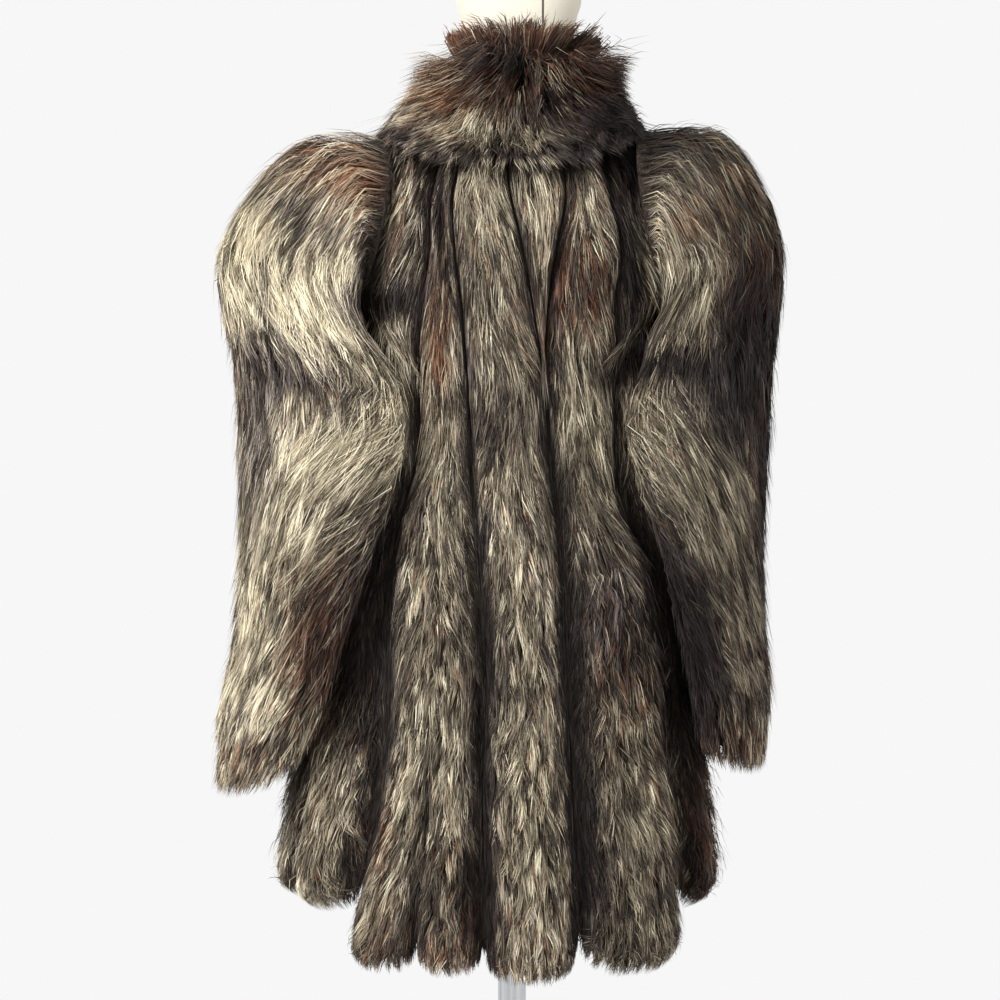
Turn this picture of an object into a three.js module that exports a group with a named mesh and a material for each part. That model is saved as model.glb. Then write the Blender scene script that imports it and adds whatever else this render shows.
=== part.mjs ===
// Long-haired fur coat hanging closed on a limbless dress form with a round base. Millimetres, +Z up,
// the coat's front towards -Y. Turns are degrees round the body from the centre back, the wearer's
// left positive, so +90 is the left side and 180 the centre front.
import * as THREE from "three";

const SEAM = 0.3; // space left between neighbouring pieces
const EASE = 1.2; // space under pieces that lie on the panels
const ROUND = 2.3; // squareness of the body sections, 2 is an ellipse
const NECKLINE = 1378; // level of the neckline at the back and sides
const NECK_DIP = 33; // how far the neckline drops at the centre front
const ARMHOLE = 1170; // level of the underarm
const SIDE_SEAM = 96; // turn of the side seams
const SLEEVE_WALL = 21; // skin and fur of a sleeve
const PRESSED_WALL = 12; // the same where the sleeve lies against the body
const THINNED = 0.6; // thickness of a sleeve's back and front edges, as a share of its middle
const ROWS = [
  NECKLINE, 1368, 1357, 1345, 1335, 1325, 1312, 1296, 1272, 1245, 1208,
  ARMHOLE, 1152, 1113, 1072, 1025, 978, 925, 873, 820, 762, 705,
]; // levels of the rows of points down the coat
const HEM_FROM = 705; // below this level rows follow the scallops of the hem
const HEM_ROWS = [0.45, 0.74, 0.89, 0.97, 1];
const DIP_FROM = 1320; // above this level rows follow the neckline
const BASE_RADIUS = 210;
const BASE_THICK = 18;
const POLE_RADIUS = 14;
const NECK_TOP = 1516;
const CAP_HEIGHT = 22;

// Sections of the dress form: half width, depth behind and before the axis, and sideways shift.
const FORM = [
  { level: 790, wide: 136, back: 100, front: 92, shift: 0 },
  { level: 806, wide: 146, back: 107, front: 99, shift: 0 },
  { level: 860, wide: 148, back: 109, front: 101, shift: 0 },
  { level: 950, wide: 137, back: 98, front: 96, shift: 0 },
  { level: 1030, wide: 120, back: 80, front: 88, shift: 0 },
  { level: 1110, wide: 128, back: 87, front: 104, shift: 0 },
  { level: 1190, wide: 138, back: 96, front: 119, shift: 0 },
  { level: 1250, wide: 142, back: 98, front: 112, shift: 0 },
  { level: 1290, wide: 146, back: 94, front: 96, shift: 0 },
  { level: 1325, wide: 140, back: 84, front: 76, shift: 0 },
  { level: 1345, wide: 118, back: 75, front: 62, shift: -1 },
  { level: 1362, wide: 86, back: 67, front: 54, shift: -2 },
  { level: 1376, wide: 65, back: 60, front: 50, shift: -3 },
  { level: 1392, wide: 57, back: 56, front: 48, shift: -4 },
  { level: 1420, wide: 55, back: 54, front: 48, shift: -5 },
  { level: 1485, wide: 57, back: 54, front: 49, shift: -6 },
  { level: 1505, wide: 62, back: 57, front: 52, shift: -7 },
  { level: NECK_TOP, wide: 63, back: 58, front: 53, shift: -7 },
];

// Sections of the skin side of the coat, with the reach of the fur on a pelt's crest.
const COAT = [
  { level: 540, wide: 197, back: 181, front: 166, shift: 14, fur: 37 },
  { level: 640, wide: 187, back: 176, front: 162, shift: 14, fur: 36 },
  { level: 765, wide: 176, back: 168, front: 156, shift: 13, fur: 33 },
  { level: 850, wide: 164, back: 160, front: 150, shift: 10, fur: 29 },
  { level: 950, wide: 152, back: 150, front: 142, shift: 8, fur: 27 },
  { level: 1050, wide: 148, back: 138, front: 134, shift: 6, fur: 26 },
  { level: 1150, wide: 147, back: 124, front: 130, shift: 4, fur: 26 },
  { level: 1230, wide: 148, back: 113, front: 121, shift: 2, fur: 26 },
  { level: 1290, wide: 147.5, back: 101, front: 99, shift: 0, fur: 25 },
  { level: 1325, wide: 142.4, back: 87, front: 80, shift: 0, fur: 24 },
  { level: 1345, wide: 121.4, back: 77.4, front: 66.2, shift: -1, fur: 23 },
  { level: 1362, wide: 88.4, back: 68.8, front: 56, shift: -2, fur: 22 },
  { level: NECKLINE, wide: 65.2, back: 61, front: 51.2, shift: -3, fur: 20 },
];

// Seams as turns at levels, read from the top down.
const SEAMS = {
  leftArmhole: {
    level: [1378, 1345, 1335, 1325, 1312, 1296, 1245, 1188, ARMHOLE],
    turn: [90, 90, 85, 77, 69, 63, 60, 58, 50],
  },
  leftShoulder: {
    level: [1378, 1300, 1243, 1197, 1165, 1103, 1072, 1020, 999, 937, 875, 793, 728, 686, 636, 540],
    turn: [42, 40, 35.5, 36, 36, 34.6, 33.2, 34.8, 38.8, 40.3, 39.8, 36.3, 36.6, 39, 42, 43],
  },
  leftCentre: {
    level: [1378, 1292, 1243, 1196, 1121, 1074, 973, 918, 877, 828, 737, 697, 630, 540],
    turn: [33, 31, 26, 21.2, 16.4, 14.2, 10, 7.5, 5.8, 4.8, 4.9, 4.5, 4.2, 4.5],
  },
  centreWedge: {
    level: [1378, 1304, 1262, 1208, 1152, 1125, 1040, 959, 918, 856, 795, 741, 629, 540],
    turn: [5, 2, -4.5, -9.5, -13.4, -14.6, -17.3, -20.2, -20.8, -21.2, -21.9, -22.6, -23.4, -22.8],
  },
  wedgeRight: {
    level: [1378, 1305, 1262, 1214, 1152, 1125, 1040, 959, 918, 856, 795, 741, 629, 540],
    turn: [
      -31, -28.7, -22.8, -17.9, -14.6, -14.6, -17.3, -20.2, -20.8, -21.2, -21.9, -22.6, -23.4,
      -22.8,
    ],
  },
  rightShoulder: {
    level: [
      1378, 1294, 1246, 1198, 1165, 1093, 1041, 1010, 978, 957, 914, 851, 790, 744, 679, 600,
      540,
    ],
    turn: [
      -50, -47, -49, -43.8, -44.5, -42, -41.6, -44.4, -51, -55.5, -60, -58.7, -57.3, -57.8,
      -60, -57, -55,
    ],
  },
  rightArmhole: {
    level: [1378, 1345, 1335, 1325, 1312, 1296, 1245, 1188, ARMHOLE],
    turn: [-90, -90, -85, -77, -69, -64, -60, -58, -50],
  },
  leftFrontArmhole: {
    level: [1378, 1345, 1335, 1325, 1312, 1296, 1245, 1188, ARMHOLE, 540],
    turn: [90, 90, 98, 108, 118, 124, 130, 132, 134, 134],
  },
};

// The columns of fur that each panel carries between its seams, and at its hem where there are more,
// its lowest level and how far the hem rises beside each column.
const PANELS = [
  {
    name: "back_pelt_centre", from: "centreWedge", to: "leftCentre",
    lobes: 1, hem: 563, notch: 30, across: 8,
  },
  {
    name: "back_pelt_left", from: "leftCentre", to: "leftShoulder",
    lobes: 1, hemLobes: 2, hem: 571, notch: 22, across: 12,
  },
  {
    name: "back_pelt_right", from: "rightShoulder", to: "wedgeRight",
    lobes: 1, hem: 567, notch: 34, across: 9,
  },
  { name: "back_wedge", from: "wedgeRight", to: "centreWedge", lobes: 1, hem: 1152, notch: 0, across: 5 },
  {
    name: "shoulder_wedge_left", from: "leftShoulder", to: "leftArmhole",
    lobes: 1, hem: ARMHOLE, notch: 0, across: 6,
  },
  {
    name: "shoulder_wedge_right", from: "rightArmhole", to: "rightShoulder",
    lobes: 1, hem: ARMHOLE, notch: 0, across: 6,
  },
  {
    name: "side_panel_left", from: "leftShoulder", to: SIDE_SEAM, top: ARMHOLE - SEAM,
    lobes: 2, hem: 620, notch: 26, across: 12,
  },
  {
    name: "side_panel_right", from: -SIDE_SEAM, to: "rightShoulder", top: ARMHOLE - SEAM,
    lobes: 2, hem: 617, notch: 26, across: 10,
  },
  {
    name: "front_side_left", from: SIDE_SEAM, to: 134, top: ARMHOLE - SEAM,
    lobes: 1, hem: 624, notch: 26, across: 7,
  },
  {
    name: "front_side_right", from: -134, to: -SIDE_SEAM, top: ARMHOLE - SEAM,
    lobes: 1, hem: 624, notch: 26, across: 7,
  },
  { name: "front_left", from: "leftFrontArmhole", to: 180, lobes: 2, hem: 622, notch: 26, across: 10 },
  {
    name: "front_right", from: -180, to: "leftFrontArmhole",
    mirror: true, lobes: 2, hem: 622, notch: 26, across: 10,
  },
];

// Upper sleeve sections turn about the underarm: the crown point, the underarm point, how far from the
// middle the back and front edges stand, and the middle and half of the depth.
const CAPS = {
  left: [
    { crown: [142, 1380], under: [166, 1175], edge: 126, middle: 3, deep: 127 },
    { crown: [210, 1371], under: [182, 1173], edge: 139, middle: 4, deep: 131 },
    { crown: [266, 1314], under: [184, 1172], edge: 150, middle: 8, deep: 132 },
    { crown: [296, 1248], under: [184, 1170], edge: 156, middle: 12, deep: 132 },
  ],
  right: [
    { crown: [146, 1388], under: [166, 1175], edge: 128, middle: 3, deep: 127 },
    { crown: [210, 1378], under: [182, 1173], edge: 139, middle: 4, deep: 130 },
    { crown: [252, 1322], under: [182, 1172], edge: 148, middle: 8, deep: 130 },
    { crown: [273, 1252], under: [181, 1170], edge: 154, middle: 12, deep: 130 },
  ],
};

// Hanging sleeve sections lie against the body: level of the outer edge, its reach from the axis, the
// turns of the back and front edges, and how much higher the inner edge is.
const HANGS = {
  left: [
    { level: 1171, reach: 285, back: 42, front: 121, rise: -12 },
    { level: 1120, reach: 278, back: 32, front: 118, rise: 6 },
    { level: 1065, reach: 275, back: 27.5, front: 115, rise: 10 },
    { level: 1010, reach: 274, back: 30, front: 112, rise: 14 },
    { level: 945, reach: 275, back: 35, front: 109, rise: 26 },
    { level: 875, reach: 280, back: 39, front: 106, rise: 44 },
    { level: 800, reach: 294, back: 44, front: 103, rise: 64 },
    { level: 726, reach: 295, back: 50, front: 101, rise: 84 },
  ],
  right: [
    { level: 1172, reach: 265, back: 44, front: 122, rise: -12 },
    { level: 1120, reach: 260, back: 38, front: 118, rise: 6 },
    { level: 1065, reach: 258, back: 34, front: 115, rise: 10 },
    { level: 1010, reach: 254, back: 38, front: 112, rise: 15 },
    { level: 950, reach: 252, back: 44, front: 109, rise: 20 },
    { level: 885, reach: 254, back: 49, front: 106, rise: 30 },
    { level: 815, reach: 259, back: 52, front: 103, rise: 40 },
    { level: 746, reach: 249, back: 55, front: 101, rise: 50 },
  ],
};

// The folded collar: level on the coat that its fall reaches, thickness of the fall there, level of
// the crown and how far the crown leans out from the neck.
const COLLAR = [
  { turn: -171, edge: 1290, fall: 22, crown: 1430, lean: 20 },
  { turn: -140, edge: 1318, fall: 24, crown: 1448, lean: 24 },
  { turn: -105, edge: 1349, fall: 26, crown: 1464, lean: 30 },
  { turn: -75, edge: 1349, fall: 28, crown: 1466, lean: 32 },
  { turn: -40, edge: 1325, fall: 30, crown: 1468, lean: 26 },
  { turn: 0, edge: 1318, fall: 30, crown: 1470, lean: 24 },
  { turn: 40, edge: 1325, fall: 28, crown: 1470, lean: 20 },
  { turn: 75, edge: 1347, fall: 23, crown: 1466, lean: 17 },
  { turn: 105, edge: 1345, fall: 23, crown: 1462, lean: 18 },
  { turn: 140, edge: 1318, fall: 23, crown: 1448, lean: 20 },
  { turn: 171, edge: 1290, fall: 22, crown: 1430, lean: 20 },
];

const radians = (degrees) => (degrees * Math.PI) / 180;
const clamp = (value, low, high) => Math.min(Math.max(value, low), high);
const mix = (a, b, share) => a + (b - a) * share;

// Value of a column at a place in another column, both read in order, straight between rows.
function between(places, values, place) {
  const sign = places[places.length - 1] > places[0] ? 1 : -1;
  const at = places.findIndex((row) => sign * row > sign * place);
  if (at === 0) return values[0];
  if (at < 0) return values[values.length - 1];
  const share = (place - places[at - 1]) / (places[at] - places[at - 1]);
  return mix(values[at - 1], values[at], share);
}

// One section of a table of sections at any level, on a smooth curve through its rows.
function sectionAt(table, level, key = "level") {
  const last = table.length - 1;
  let at = table.findIndex((row) => row[key] > level) - 1;
  if (at === -2) at = last - 1;
  at = clamp(at, 0, last - 1);
  const span = table[at + 1][key] - table[at][key];
  const share = clamp((level - table[at][key]) / span, 0, 1);
  const slope = (name, k) => {
    const low = table[Math.max(k - 1, 0)];
    const high = table[Math.min(k + 1, last)];
    return (high[name] - low[name]) / (high[key] - low[key]);
  };
  const curve = (name) => {
    const [a, b] = [table[at][name], table[at + 1][name]];
    const [da, db] = [slope(name, at) * span, slope(name, at + 1) * span];
    const [s, t] = [share, 1 - share];
    return a * t * t * (1 + 2 * s) + b * s * s * (1 + 2 * t) + da * s * t * t - db * t * s * s;
  };
  const names = Object.keys(table[0]);
  return Object.fromEntries(names.map((name) => [name, name === key ? level : curve(name)]));
}

// Point of a sectioned body at a turn and level.
function bodyPoint(table, turn, level) {
  const { wide, back, front, shift } = sectionAt(table, level);
  const [s, c] = [Math.sin(radians(turn)), Math.cos(radians(turn))];
  const deep = c > 0 ? back : front;
  const radius = (Math.abs(s / wide) ** ROUND + Math.abs(c / deep) ** ROUND) ** (-1 / ROUND);
  return new THREE.Vector3(shift + radius * s, radius * c, level);
}

// Outward direction of the coat's skin at a turn and level.
function coatNormal(turn, level) {
  const along = bodyPoint(COAT, turn + 0.5, level).sub(bodyPoint(COAT, turn - 0.5, level));
  const low = clamp(level, 541, NECKLINE - 1);
  const up = bodyPoint(COAT, turn, low + 1).sub(bodyPoint(COAT, turn, low - 1));
  return up.cross(along).normalize();
}

const coatOut = (turn, level, out) =>
  bodyPoint(COAT, turn, level).addScaledVector(coatNormal(turn, level), out);
const furAt = (level) => sectionAt(COAT, clamp(level, 540, NECKLINE)).fur;
const neckline = (turn) => NECKLINE - NECK_DIP * clamp((Math.abs(turn) - 90) / 70, 0, 1) ** 1.5;

// Closed solid from rings of points. A ring closes on itself, and the ends either meet or are closed
// by strips between facing points of the ring.
function solid(name, rings, colour, meet = false) {
  const count = rings[0].length;
  const position = rings.flatMap((ring) => ring.flatMap((point) => point.toArray()));
  const index = [];
  const quad = (a, b, c, d) => index.push(a, b, c, a, c, d);
  for (let i = 0; i < rings.length - (meet ? 0 : 1); i += 1) {
    const [row, next] = [i * count, ((i + 1) % rings.length) * count];
    for (let j = 0; j < count; j += 1) {
      const k = (j + 1) % count;
      if (k === 0) quad(row + k, next + k, next + j, row + j);
      else quad(row + j, row + k, next + k, next + j);
    }
  }
  if (!meet) {
    const end = (rings.length - 1) * count;
    for (let j = 0; j < count / 2 - 1; j += 1) {
      const [near, far] = [count - 1 - j, count - 2 - j];
      quad(j, near, far, j + 1);
      quad(end + j, end + j + 1, end + far, end + near);
    }
  }
  const geometry = new THREE.BufferGeometry();
  geometry.setAttribute("position", new THREE.Float32BufferAttribute(position, 3));
  geometry.setIndex(inward(position, index) ? index.reverse() : index);
  geometry.computeVertexNormals();
  return named(name, geometry, colour);
}

// True when the triangles face the inside of the solid.
function inward(position, index) {
  const at = (k) => new THREE.Vector3().fromArray(position, 3 * k);
  let volume = 0;
  for (let k = 0; k < index.length; k += 3) {
    volume += at(index[k]).dot(at(index[k + 1]).cross(at(index[k + 2])));
  }
  return volume < 0;
}

function named(name, geometry, colour) {
  const mesh = new THREE.Mesh(geometry, new THREE.MeshStandardMaterial({ color: colour, roughness: 0.9 }));
  mesh.name = name;
  return mesh;
}

function seamTurn(seam, level, mirror) {
  if (typeof seam === "number") return seam;
  const { level: levels, turn } = SEAMS[seam];
  return between(levels, turn, level) * (mirror ? -1 : 1);
}

// Levels of a panel's rows, which all panels share down to the hem, where they follow its edge.
function rowsOf(top, hem) {
  const shared = ROWS.filter((level) => level <= top + 1 && level >= hem);
  if (hem > HEM_FROM) return [...shared.slice(0, -1), hem].map((level) => () => level);
  const free = HEM_ROWS.map((share) => (bottom) => mix(HEM_FROM, bottom, share));
  return [...shared.map((level) => () => Math.min(level, top)), ...free];
}

// Skin and fur of one panel. Across each of its columns the fur swells from the grooves to a crest,
// and it rounds off at a free hem.
function panel({ name, from, to, top = NECKLINE, lobes, hemLobes = lobes, hem, notch, across, mirror }) {
  const swell = (share, columns) => {
    const far = Math.abs(2 * ((share * columns) % 1) - 1);
    return Math.sqrt(Math.max(1 - far ** 2.6, 0));
  };
  const rings = rowsOf(top, hem).map((row) => {
    const outer = [];
    const inner = [];
    for (let j = 0; j <= across; j += 1) {
      const share = j / across;
      const bottom = hem + notch * (1 - swell(share, hemLobes));
      const flat = row(bottom);
      const edge = neckline(mix(seamTurn(from, flat, mirror), seamTurn(to, flat, mirror), share));
      const level = flat > DIP_FROM ? mix(DIP_FROM, edge, (flat - DIP_FROM) / (NECKLINE - DIP_FROM)) : flat;
      const [low, high] = [seamTurn(from, level, mirror), seamTurn(to, level, mirror)];
      const { x, y } = bodyPoint(COAT, mix(low, high, share), level);
      const trim = (0.62 * SEAM) / radians(Math.hypot(x, y));
      const turn = mix(low + trim, high - trim, share);
      const end = notch > 0 ? clamp((level - bottom) / 34, 0, 1) : 1;
      const round = mix(0.42, 1, Math.sqrt(1 - (1 - end) ** 2));
      const crest = mix(swell(share, hemLobes), swell(share, lobes), clamp((level - 600) / 180, 0, 1));
      outer.push(coatOut(turn, level, furAt(level) * mix(0.56, 1, crest) * round));
      inner.push(bodyPoint(COAT, turn, level));
    }
    return [...outer, ...inner.reverse()];
  });
  return solid(name, rings, "#8d8172");
}

const swing = (value, power) => Math.sign(value) * Math.abs(value) ** power;

// Ring of an upper sleeve section, drawn in by a wall. It narrows towards the crown.
function capRing({ crown, under, edge, middle, deep }, side, wall, steps) {
  const half = [(crown[0] - under[0]) / 2, (crown[1] - under[1]) / 2];
  const centre = [crown[0] - half[0], crown[1] - half[1]];
  const keep = 1 - wall / Math.hypot(...half);
  return Array.from({ length: steps }, (_, k) => {
    const angle = (2 * Math.PI * k) / steps;
    const [h, s] = [swing(Math.cos(angle), 0.8) * keep, swing(Math.sin(angle), 0.8)];
    const x = centre[0] + half[0] * h + (edge - centre[0]) * s * s;
    const y = middle + (deep - wall) * s * (1 - 0.22 * Math.max(h, 0));
    return new THREE.Vector3(side * x, y, centre[1] + half[1] * h);
  });
}

// Ring of a hanging sleeve section, bent round the body and drawn in by a wall. It is thickest at the
// side and thins towards its back and front edges.
function hangRing({ level, reach, back, front, rise }, side, wall, steps) {
  const middle = (back + front) / 2;
  const draw = wall / radians(230);
  return Array.from({ length: steps }, (_, k) => {
    const angle = (2 * Math.PI * k) / steps;
    const [h, s] = [swing(Math.cos(angle), 0.85), swing(Math.sin(angle), 0.85)];
    const z = level + (rise * (1 - h)) / 2;
    const flank = side * bodyPoint(COAT, 90 * side, z).x;
    const thick = (reach - flank - furAt(z) - EASE) * mix(1, THINNED, Math.abs(s) ** 2.5);
    const turn = middle + (s > 0 ? middle - back - draw : front - middle - draw) * -s;
    const here = wall === 0 ? 0 : mix(PRESSED_WALL, wall, (h + 1) / 2);
    const out = furAt(z) + EASE + thick / 2 + (thick / 2 - here) * h;
    const away = new THREE.Vector3(Math.sin(radians(side * turn)), Math.cos(radians(side * turn)), 0);
    return bodyPoint(COAT, side * turn, z).addScaledVector(away, out);
  });
}

// Keeps the points of a ring clear of the panels beneath.
function pressed(ring, wall) {
  return ring.map((point) => {
    const { shift } = sectionAt(COAT, point.z);
    const turn = (Math.atan2(point.x - shift, point.y) * 180) / Math.PI;
    const skin = bodyPoint(COAT, turn, point.z);
    const need = Math.hypot(skin.x - shift, skin.y) + furAt(point.z) + EASE + Math.min(wall, PRESSED_WALL);
    const have = Math.hypot(point.x - shift, point.y);
    if (have >= need || point.z > ARMHOLE + 4) return point;
    return new THREE.Vector3(shift + ((point.x - shift) * need) / have, (point.y * need) / have, point.z);
  });
}

// Rings on smooth curves through the given ones.
function threaded(rings, count) {
  const strands = rings[0].map((_, k) => {
    const points = rings.map((ring) => ring[k]);
    return new THREE.CatmullRomCurve3(points, false, "centripetal");
  });
  return Array.from({ length: count }, (_, i) => strands.map((strand) => strand.getPoint(i / (count - 1))));
}

function sleeve(name, key, side) {
  const [steps, rows] = [26, 25];
  const wall = (thick) =>
    threaded(
      [
        ...CAPS[key].map((row) => capRing(row, side, thick, steps)),
        ...HANGS[key].map((row) => hangRing(row, side, thick, steps)),
      ],
      rows,
    ).map((ring) => pressed(ring, thick));
  const outer = wall(0);
  const inner = wall(SLEEVE_WALL);
  const line = (rings, k) => rings.map((ring) => ring[k]);
  const loops = outer[0].map((_, k) => [...line(outer, k), ...line(inner, k).reverse()]);
  return solid(name, loops, "#85786a", true);
}

// The folded collar from one front edge round the back to the other.
function collar() {
  const [turns, under] = [34, 4];
  const rings = [];
  for (let i = 0; i <= turns; i += 1) {
    const turn = mix(-171, 171, i / turns);
    const { edge, fall, crown, lean } = sectionAt(COLLAR, turn, "turn");
    const top = neckline(turn) - 1;
    const away = new THREE.Vector3(Math.sin(radians(turn)), Math.cos(radians(turn)), 0);
    const seat = Array.from({ length: under + 1 }, (_, k) => {
      const level = mix(top, edge, k / under);
      return coatOut(turn, level, furAt(level) + EASE + SEAM);
    });
    const neck = bodyPoint(FORM, turn, crown - 9).addScaledVector(away, 1.5);
    const peak = bodyPoint(FORM, turn, crown).addScaledVector(away, lean * 0.55);
    const brow = bodyPoint(FORM, turn, crown - 16).addScaledVector(away, lean * 1.1);
    const lip = coatOut(turn, edge, furAt(edge) + fall * 0.72);
    lip.z -= 4;
    const shoulder = coatOut(turn, mix(top, edge, 0.8), furAt(edge) + fall);
    const swell = brow.clone().lerp(shoulder, 0.5).addScaledVector(away, 1);
    rings.push([...seat, lip, shoulder, swell, brow, peak, neck]);
  }
  return solid("collar", rings, "#6d5a4c");
}

// Ring of the dress form at a level.
const formRing = (level) => Array.from({ length: 32 }, (_, k) => bodyPoint(FORM, k * 11.25, level));

function turned(name, profile, colour, segments = 36) {
  const geometry = new THREE.LatheGeometry(profile.map(([r, z]) => new THREE.Vector2(r, z)), segments);
  return named(name, geometry.rotateX(Math.PI / 2), colour);
}

function dressForm() {
  const levels = [
    790, 806, 860, 930, 1000, 1070, 1130, 1190, 1245, 1290, 1312, 1325, 1335, 1345, 1357, 1368,
    1380, 1400, 1485, NECK_TOP,
  ];
  const capTop = NECK_TOP + SEAM + CAP_HEIGHT;
  const poleTop = 790 - SEAM;
  const cap = turned(
    "neck_cap",
    [
      [0, NECK_TOP + SEAM],
      [50, NECK_TOP + SEAM],
      [52, NECK_TOP + SEAM + 3],
      [50, NECK_TOP + 10],
      [40, NECK_TOP + 17],
      [22, capTop - 1],
      [0, capTop],
    ],
    "#c9a06c",
  );
  cap.geometry.translate(-7, 2, 0);
  return [
    solid("form_body", levels.map(formRing), "#efe9dc"),
    cap,
    turned(
      "stand_pole",
      [
        [0, BASE_THICK + SEAM],
        [34, BASE_THICK + SEAM],
        [34, BASE_THICK + 8],
        [POLE_RADIUS + 4, BASE_THICK + 16],
        [POLE_RADIUS, BASE_THICK + 34],
        [POLE_RADIUS, poleTop - 30],
        [POLE_RADIUS + 5, poleTop - 14],
        [40, poleTop - 6],
        [40, poleTop],
        [0, poleTop],
      ],
      "#b9bcc0",
      28,
    ),
    turned(
      "stand_base",
      [
        [0, 0],
        [BASE_RADIUS - 3, 0],
        [BASE_RADIUS, 4],
        [BASE_RADIUS - 1, 9],
        [BASE_RADIUS - 8, 13],
        [60, BASE_THICK],
        [0, BASE_THICK],
      ],
      "#a9acb0",
      48,
    ),
  ];
}

const coat = new THREE.Group();
coat.name = "fur_coat_on_dress_form";
coat.add(
  ...PANELS.map(panel),
  sleeve("sleeve_left", "left", 1),
  sleeve("sleeve_right", "right", -1),
  collar(),
  ...dressForm(),
);

export default coat;
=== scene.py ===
"""Long-haired fur coat hanging closed on a limbless dress form, finished for its CAD frame.

Tables are in millimetres and turns are degrees round the body from the centre back, the wearer's left
positive. Meshes are in metres, +Z up. Each hide is a surface of two shares, across (0 to 1 over its width)
and down (0 at its top, 1 at the lowest tips of its fur), between a skin side and a fur side.
"""

import logging
import math
from dataclasses import dataclass, field
from enum import Enum

import bpy
import numpy as np
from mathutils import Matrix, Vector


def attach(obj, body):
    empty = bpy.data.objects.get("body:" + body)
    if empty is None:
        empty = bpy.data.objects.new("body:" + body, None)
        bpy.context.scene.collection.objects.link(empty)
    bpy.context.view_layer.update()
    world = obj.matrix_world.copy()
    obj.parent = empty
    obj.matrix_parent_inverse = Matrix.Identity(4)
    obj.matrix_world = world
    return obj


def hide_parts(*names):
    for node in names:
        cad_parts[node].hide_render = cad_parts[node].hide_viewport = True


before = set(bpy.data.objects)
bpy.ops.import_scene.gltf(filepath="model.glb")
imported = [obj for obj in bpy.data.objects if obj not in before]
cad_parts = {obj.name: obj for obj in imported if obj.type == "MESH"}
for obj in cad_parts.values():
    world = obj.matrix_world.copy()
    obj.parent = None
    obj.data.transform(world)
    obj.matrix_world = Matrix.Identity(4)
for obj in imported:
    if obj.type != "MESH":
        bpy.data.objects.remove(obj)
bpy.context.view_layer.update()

log = logging.getLogger("coat")
Array = np.ndarray
Colour = tuple[float, float, float]

MM = 0.001
ROUND = 2.3  # squareness of the body sections
NECKLINE = 1378.0
FORM_FOOT = 790.0
NECK_DIP = 33.0
ARMHOLE = 1170.0
SIDE_SEAM = 96.0
EASE = 1.2
SEAM = 0.3
SLEEVE_WALL = 21.0
PRESSED_WALL = 12.0
THINNED = 0.6
EYE = (12.0, 2300.0, 1010.0)  # the camera
PICTURE = 1000.0  # picture units across, one a millimetre at the form's axis


class Section(Enum):
    """Columns of a table of body sections."""

    LEVEL = 0
    WIDE = 1
    BACK = 2
    FRONT = 3
    SHIFT = 4
    FUR = 5


# Sections of the dress form: level, half width, depth behind and before, sideways shift.
FORM = np.array([
    (790, 136, 100, 92, 0), (806, 146, 107, 99, 0), (860, 148, 109, 101, 0), (950, 137, 98, 96, 0),
    (1030, 120, 80, 88, 0), (1110, 128, 87, 104, 0), (1190, 138, 96, 119, 0), (1250, 142, 98, 112, 0),
    (1290, 146, 94, 96, 0), (1325, 140, 84, 76, 0), (1345, 118, 75, 62, -1), (1362, 86, 67, 54, -2),
    (1376, 65, 60, 50, -3), (1392, 57, 56, 48, -4), (1420, 55, 54, 48, -5), (1485, 57, 54, 49, -6),
    (1505, 62, 57, 52, -7), (1516, 63, 58, 53, -7),
], float)

# Sections of the coat's skin side, with the reach of the fur on a pelt's crest in the last column.
COAT = np.array([
    (540, 197, 181, 166, 14, 37), (640, 187, 176, 162, 14, 36), (765, 176, 168, 156, 13, 33),
    (850, 164, 160, 150, 10, 29), (950, 152, 150, 142, 8, 27), (1050, 148, 138, 134, 6, 26),
    (1150, 147, 124, 130, 4, 26), (1230, 148, 113, 121, 2, 26), (1290, 147.5, 101, 99, 0, 25),
    (1325, 142.4, 87, 80, 0, 24), (1345, 121.4, 77.4, 66.2, -1, 23), (1362, 88.4, 68.8, 56, -2, 22),
    (NECKLINE, 65.2, 61, 51.2, -3, 20),
], float)

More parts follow.
